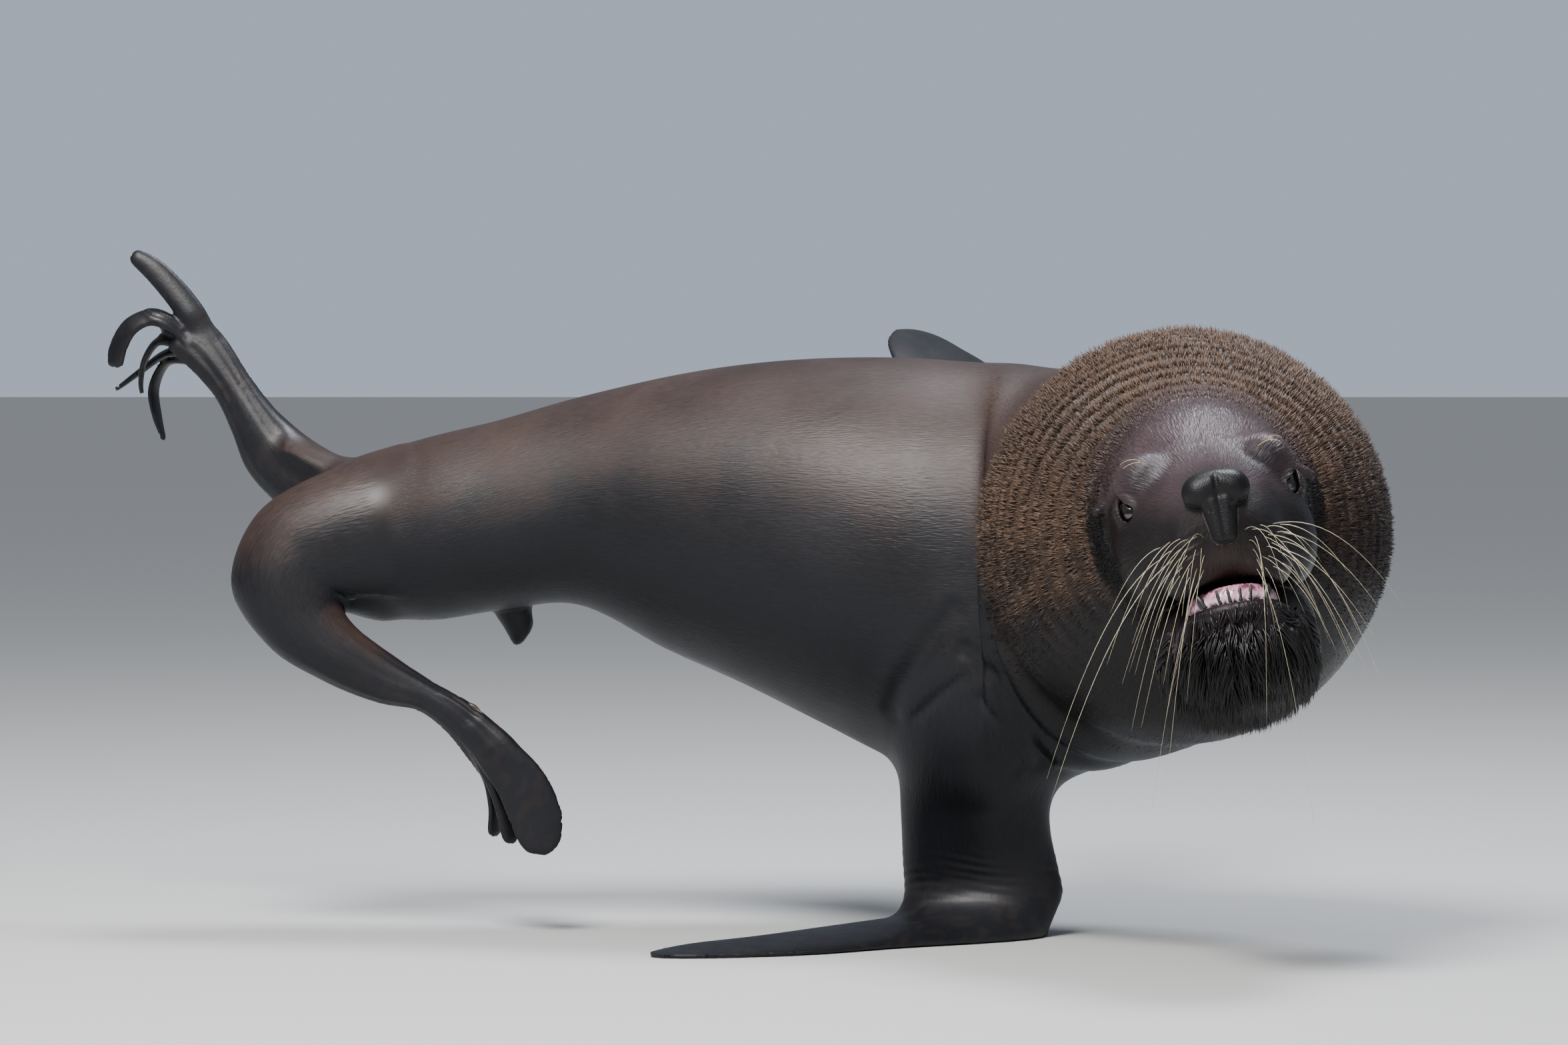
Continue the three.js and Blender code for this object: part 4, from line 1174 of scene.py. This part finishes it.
ragged_row = face_row + 0.7 * (patchy(middle, 0.08, 9) - 0.5)
on_ruff = (face_part == 0) | (on_head & (face_z < -60))
mane = Tufts(MANE_TUFTS, np.where(on_ruff, ramp(ragged_row, 12.5, 13.6), 0) * (1 - naked)
             * (1 - 0.85 * sleek(middle)))
crest = np.sin(mane.survey.travel / ROW_OF_HAIR * 2 * math.pi)
chance = 0.45 + 0.55 * np.maximum(ramp(crest, -0.5, 0.5), 0.6 * sleek(mane.root))
mane.keep((random.random(len(crest)) < chance) | (mane.survey.part != 0))
n = len(mane.root)
crest = np.sin(mane.survey.travel / ROW_OF_HAIR * 2 * math.pi) * (mane.survey.part == 0)
short = sleek(mane.root)
mane.colour = mane.colour * (1 + 0.6 * short)[:, None]
edge = np.where(mane.survey.part == 0, ramp(mane.survey.row, 12.4, 14.0), 1)
mane.grow("mane", (11 + 7 * random.random(n)) * (0.45 + 0.55 * edge) * (1 - 0.2 * short) * MM,
          (1.3 + 1.0 * random.random(n)) * (1 - 0.5 * short) * MM,
          (24 + 16 * ramp(crest, -0.5, 0.8)) * (1 - 0.5 * short), 8 - 8 * short, 2, 0.5, 1.5)

off_mane = 1 - ramp(face_row, 12.4, 13.6) * (face_part == 0)
fur = Tufts(FUR_TUFTS, np.where(~on_head & (face_bare < 0.02), off_mane, 0))
n = len(fur.root)
fur.grow("fur", (7 + 4 * random.random(n)) * MM, (0.7 + 0.4 * random.random(n)) * MM, np.full(n, 13.0),
         np.full(n, 0.0), 2, 1.0, 1.25, sway=0.08)

under_beard = (face_y > -182) | (face_z < -92)
crown = Tufts(FACE_TUFTS, np.where(on_head & ~naked & ~on_ear & under_beard, 0.5 + ramp(-face_z, -40, 60), 0))
n = len(crown.root)
long = ramp(-crown.survey.q[:, 2], -50, 75)
crown.grow("face_fur", (5 + 9 * long) * MM, (0.7 + 0.5 * long) * MM, 10 + 9 * long, np.full(n, 2.0), 2,
           0.9, 1.4, sway=0.12)

on_chin = on_head & (face_y < -172) & (face_z > -100)
beard = Tufts(BEARD_TUFTS, np.where(on_chin, 0.4 + ramp(-face_y, 186, 240), 0))
n = len(beard.root)
low_down = ramp(-beard.survey.q[:, 1], 178, 238) * (0.3 + 0.7 * ramp(beard.survey.q[:, 2], -95, 5))
beard.grow("beard", (18 + 62 * low_down * (0.5 + 0.5 * random.random(n))) * MM,
           (2.2 + 1.8 * random.random(n)) * MM, np.full(n, 30.0), np.full(n, 10.0), 4, 0.7, 1.3,
           sway=0.12, pull=np.array((0, 0.1, -1.3)), locks=BEARD_LOCKS)

# ------------------------------------------------------------------ eyes
def both(point, side):
    """A point of the left half, or its mirror image where side is -1."""
    return np.array(point, float) * (side, 1, 1)


def eyeball(name, side):
    """Ball in the head's frame with a cornea, a dark iris and the third eyelid over its inner corner."""
    centre = both(EYE_OFFSET, side)
    gaze = unit(both((0.40, -0.16, 0.90), side))
    right = unit(np.cross((0, 1, 0), gaze))
    above = np.cross(gaze, right)
    polar = np.concatenate([np.linspace(0, 1.2, 70), np.linspace(1.2, math.pi, 27)[1:]])
    turn = np.arange(EYE_SIDES) / EYE_SIDES * 2 * math.pi
    polar, turn = (v.ravel() for v in np.meshgrid(polar, turn, indexing="ij"))
    away = (np.sin(polar) * np.cos(turn))[:, None] * right + (np.sin(polar) * np.sin(turn))[:, None] * above
    away = away + np.cos(polar)[:, None] * gaze
    corner = unit(both(EYE_FRONT, side) - centre)
    lid = ramp(dot(away, corner), 0.88, 0.90)
    radius = EYE_RADIUS - 0.9 + 0.9 * bump(polar, 0, 0.45) + 0.5 * lid
    rings = len(polar) // EYE_SIDES
    around, along = np.meshgrid(np.arange(EYE_SIDES), np.arange(rings - 1))
    a, b = along * EYE_SIDES + around, along * EYE_SIDES + (around + 1) % EYE_SIDES
    quads = np.stack([a, b, b + EYE_SIDES, a + EYE_SIDES], axis=2).reshape(-1, 4)
    ball = mesh_object(name, from_head(centre + away * radius[:, None]), quads[:, ::-1])
    streak = 0.8 + 0.3 * np.sin(turn * 23 + 3 * np.sin(turn * 7))
    colour = mix(all_over(away, shade(7, 6, 6)), shade(24, 15, 11) * streak[:, None], ramp(polar, 0.20, 0.26))
    colour = mix(colour, shade(16, 12, 11), ramp(polar, 0.50, 0.58))
    colour = mix(colour, shade(40, 30, 28), ramp(polar, 0.70, 0.95))
    colour = mix(colour, shade(62, 82, 88), lid)
    colour_layer(ball.data, "tone", colour)
    ball.data.materials.append(eye_material)
    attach(ball, "root")
    return ball


eye_material = make_mottled("sea_lion_eye", 260.0, 3.0, (0.85, 1.2), (0.03, 0.09), specular=0.6,
                            coat_weight=1.0, coat_roughness=0.02)
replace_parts(eyeball("eyeball_left", 1), "eye_left")
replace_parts(eyeball("eyeball_right", -1), "eye_right")


# ------------------------------------------------------------------ gum and teeth
ARCH_AT = (0, -157, 63)
TEETH = [(x, 2.9, 13) for x in (-17, -6, 6, 17)] + [(x, 6.5, 13) for x in (-35, 35)]   # place, radius, height


def tooth_root(x):
    return np.array((x * 1.07, ARCH_AT[1] - 3, ARCH_AT[2] + 6 + 60 * math.sqrt(1 - (x / 50) ** 2)))


def gum_distance(q):
    """Band of gum with a swelling round each tooth and dips between."""
    d = blend(arch_distance(q, 50, 60, ARCH_AT, 8), arch_distance(q + (0, -8, 2), 50, 60, ARCH_AT, 6), 6)
    for x, radius, _ in TEETH:
        root = tooth_root(x)
        d = blend(d, capsule(q, root + (0, -9, -1), root + (0, 1, -2), radius + 1.2, radius + 0.2), 5)
    return d + 0.35 * np.sin(q[:, 0] * 1.1) * np.sin(q[:, 1] * 0.9)


def lathe(path, radii, sides):
    """Closed skin of rings along a path, ending in points."""
    path = np.asarray(path, float)
    along = unit(np.gradient(path, axis=0))
    side = unit(np.cross(along, (0.31, 0.95, 0.12)))
    other = np.cross(along, side)
    turn = np.arange(sides) / sides * 2 * math.pi
    rings = path[:, None] + np.asarray(radii)[:, None, None] * (
        np.cos(turn)[None, :, None] * side[:, None] + np.sin(turn)[None, :, None] * other[:, None])
    verts = np.concatenate([rings.reshape(-1, 3), path[:1], path[-1:]])
    ring, k = np.meshgrid(np.arange(len(path) - 1), np.arange(sides), indexing="ij")
    a, b = ring * sides + k, ring * sides + (k + 1) % sides
    walls = np.concatenate([np.stack([a, b, b + sides], 2).reshape(-1, 3),
                            np.stack([a, b + sides, a + sides], 2).reshape(-1, 3)])
    k = np.arange(sides)
    foot = np.stack([np.full(sides, len(verts) - 2), (k + 1) % sides, k], axis=1)
    last = (len(path) - 1) * sides
    head = np.stack([np.full(sides, len(verts) - 1), last + k, last + (k + 1) % sides], axis=1)
    return verts, np.concatenate([walls, foot, head])


def join(name, pieces, material, colours=None):
    """One object from several closed skins."""
    starts = np.cumsum([0] + [len(verts) for verts, _ in pieces])
    verts = np.concatenate([verts for verts, _ in pieces])
    obj = mesh_object(name, verts, np.concatenate([tris + start for (_, tris), start in zip(pieces, starts)]))
    if colours is not None:
        colour_layer(obj.data, "tone", np.concatenate(colours))
    obj.data.materials.append(material)
    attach(obj, "root")
    return obj


WET = {"specular": 0.55, "coat_weight": 0.2, "coat_roughness": 0.2}
gum_points, gum_quads = surface_net(gum_distance, np.array((-68, -190, 44.0)),
                                    np.array((68, -132, 144.0)), 1.5)
gum_colour = mix(all_over(gum_points, shade(186, 128, 150)), shade(92, 52, 66),
                 ramp(patchy(gum_points, 22, 5), 0.35, 0.9))
gum_ridge = bump(gum_points[:, 1], -160, 6) * ramp(gum_points[:, 2], 80, 110)
gum_colour = mix(gum_colour, shade(206, 170, 186), gum_ridge)
gum = join("gum_flesh", [(from_head(gum_points), triangles(gum_points, gum_quads))],
           make_mottled("sea_lion_gum", 120.0, 4.0, (0.65, 1.3), (0.12, 0.3), 600.0, **WET),
           [gum_colour])
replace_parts(gum, "gum")
pegs, peg_colours = [], []
for x, radius, height in TEETH:
    t = np.linspace(0, 1, 12)
    root = tooth_root(x)
    lean = np.array((x * 0.012, 1, 0.05))
    path = root + np.array((0, -4, 0)) + lean * (height + 6) * t[:, None]
    verts, tris = lathe(path, radius * np.sqrt(np.clip(1 - (t * 0.985) ** 3, 0, 1)) * (1 - 0.25 * t), 16)
    pegs.append((from_head(verts), tris))
    peg_colours.append(mix(all_over(verts, shade(18, 20, 15)), shade(48, 48, 36),
                           ramp(verts[:, 1], root[1] + 0.4 * height, root[1] + height) * 0.6))
join("teeth", pegs, make_mottled("sea_lion_tooth", 300.0, 4.0, (0.65, 1.3), (0.3, 0.5), 900.0, **WET),
     peg_colours)

# ------------------------------------------------------------------ whiskers
def whisker(root, heading, length, sag, thick):
    """Stiff hair from the lip, bending under its own weight."""
    t = np.linspace(0, 1, 15)[:, None]
    fall = np.array((0, 0.12, -1.0)) * sag
    start = from_head(root)
    heading = unit(HEAD_TURN @ np.asarray(heading, float))
    path = start + length * MM * (heading * t + fall * t ** 2 * 0.5)
    path[:, 1] = np.maximum(path[:, 1], WHISKER_FRONT)
    radii = thick * MM * (1 - 0.8 * t[:, 0] ** 1.2)
    return lathe(path, radii, 6)


whiskers, whisker_colours = [], []
for side in (-1, 1):
    for rank in range(5):
        for place in range(6 - rank // 2):
            x, y = 26 + 9.5 * place + 2 * rank, -82 - 11.5 * rank + 1.5 * place
            x, y = x + random.normal(0, 1.5), y + random.normal(0, 1.5)
            ray = np.stack([np.full(60, side * x), np.full(60, y), np.linspace(160, 60, 60)], axis=1)
            root = ray[np.argmax(head_distance(ray) < 0)]
            outer = place / 5
            heading = (side * (0.30 + 0.85 * outer + random.normal(0, 0.16)), -0.12 - 0.17 * rank
                       + random.normal(0, 0.16), 0.66 - 0.28 * outer)
            length = (26 + 88 * outer ** 1.5 + 9 * rank) * (0.55 + 0.8 * random.random())
            length += 100 * (random.random() < 0.18)
            verts, tris = whisker(root, heading, length, 1.3 + 1.1 * random.random(), 0.36 + 0.24 * outer)
            whiskers.append((verts, tris))
            pale = 0.75 + 0.4 * random.random()
            whisker_colours.append(all_over(verts, shade(172, 162, 136) * pale))
    for lift in (0, 7):
        root = (side * (70 + lift), 40 + lift, 52 - lift)
        verts, tris = whisker(root, (side * 0.7, 0.35, 0.7), 46 - lift, 0.9, 0.6)
        whiskers.append((verts, tris))
        whisker_colours.append(all_over(verts, shade(186, 172, 134)))


join("whiskers", whiskers,
     make_mottled("sea_lion_whisker", 90.0, 2.0, (0.7, 1.2), (0.25, 0.4), specular=0.6),
     whisker_colours)

# ------------------------------------------------------------------ nails
NAILS = {      # root and tip, in millimetres
    "nail_right_2": ((-677, 28, 310), (-656, 24, 296)),
    "nail_right_3": ((-651, 55, 234), (-644, 58, 210)),
    "nail_right_4": ((-642, 76, 237), (-633, 83, 212)),
    "nail_left_2": ((-1095, 244, 820), (-1117, 241, 823)),
    "nail_left_3": ((-1078, 260, 784), (-1097, 265, 791)),
    "nail_left_4": ((-1067, 275, 772), (-1084, 289, 776)),
}


def make_nail_material():
    n = Nodes("sea_lion_nail")
    stretch = n.add("VectorMath", operation="MULTIPLY")
    n.feed(stretch.inputs[0], n.place())
    n.feed(stretch.inputs[1], (900, 900, 160))
    lines = n.noise(stretch.outputs[0], 1.0)
    return n.finish(base_color=n.tint(n.layer("tone", "Color"), n.remap(lines, 0.3, 0.7, 0.7, 1.3)),
                    roughness=n.remap(lines, 0.3, 0.7, 0.3, 0.5), normal=n.bump(lines, 0.25 * MM),
                    specular=0.5)


nail_material = make_nail_material()
for name, (root, tip) in NAILS.items():
    root, tip = np.array(root) * MM, np.array(tip) * MM
    t = np.linspace(0, 1, 12)
    path = settle(skin_distance, root + (tip - root) * t[:, None], 2)
    path = path + unit(gradient(skin_distance, path)) * 1.2 * MM * np.sin(math.pi * t)[:, None]
    girth = np.sqrt(np.clip(1 - (1 - 2.2 * t) ** 2, 0.02, 1)) * (1 - 0.75 * t ** 2)
    verts, tris = lathe(path, NAIL_RADIUS * MM * girth, 12)
    colour = mix(all_over(verts, shade(46, 38, 32)), shade(112, 98, 80),
                 ramp(np.linalg.norm(verts - root, axis=1), 0.010, 0.026))
    claw = join(name.replace("nail", "claw"), [(verts, tris)], nail_material, [colour])
    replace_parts(claw, name)

# ------------------------------------------------------------------ camera, light and floor
CAMERA_AT, CAMERA_DIP, LENS = (-0.252, -9.0, 0.850), 1.881, 154.3     # metres, degrees below level, mm
LIGHTS = [       # name, place, target, width in metres, watts, colour
    ("key", (-1.6, -3.4, 4.6), (0, 0, 0.5), 2.2, 620, (1.0, 0.97, 0.95)),
    ("fill", (3.6, -5.0, 1.8), (0, 0, 0.5), 3.5, 22, (0.90, 0.94, 1.0)),
    ("rim", (0.9, 1.3, 5.2), (0.1, -0.2, 0.5), 1.8, 330, (0.88, 0.92, 1.0)),
]
camera = put("camera", bpy.data.cameras.new("camera"))
camera.data.sensor_width = 36
camera.data.lens = LENS
camera.data.clip_end = 60
camera.location = CAMERA_AT
camera.rotation_euler = (math.radians(90 - CAMERA_DIP), 0, 0)
bpy.context.scene.camera = camera
for name, place, target, size, power, color in LIGHTS:
    light = put(name, bpy.data.lights.new(name, "AREA"))
    light.data.shape = "DISK"
    light.data.size = size
    light.data.energy = power
    light.data.color = color
    light.location = place
    light.rotation_euler = (Vector(target) - Vector(place)).to_track_quat("-Z", "Y").to_euler()
sky = put("sky", bpy.data.lights.new("sky", "SUN"))
sky.data.energy = 0.9
sky.data.angle = math.radians(70)
sky.rotation_euler = Vector((0.5, 0.7, -2)).to_track_quat("-Z", "Y").to_euler()
world = bpy.data.worlds.new("studio")
bpy.context.scene.world = world
world.use_nodes = True
backdrop = world.node_tree.nodes["Background"]
backdrop.inputs["Color"].default_value = (0.72, 0.83, 1.0, 1)
seen = world.node_tree.nodes.new("ShaderNodeLightPath")
level = world.node_tree.nodes.new("ShaderNodeMapRange")
level.inputs["To Min"].default_value = 0.28      # what lights the animal
level.inputs["To Max"].default_value = 0.58      # what the camera sees
world.node_tree.links.new(seen.outputs["Is Camera Ray"], level.inputs["Value"])
world.node_tree.links.new(level.outputs[0], backdrop.inputs["Strength"])
floor = mesh_object("floor", [(-60, -60, 0), (60, -60, 0), (60, 60, 0), (-60, 60, 0)], [(0, 1, 2, 3)])
paint = Nodes("floor_paint")
floor.data.materials.append(paint.finish(base_color=(0.46, 0.46, 0.45, 1), roughness=0.7))
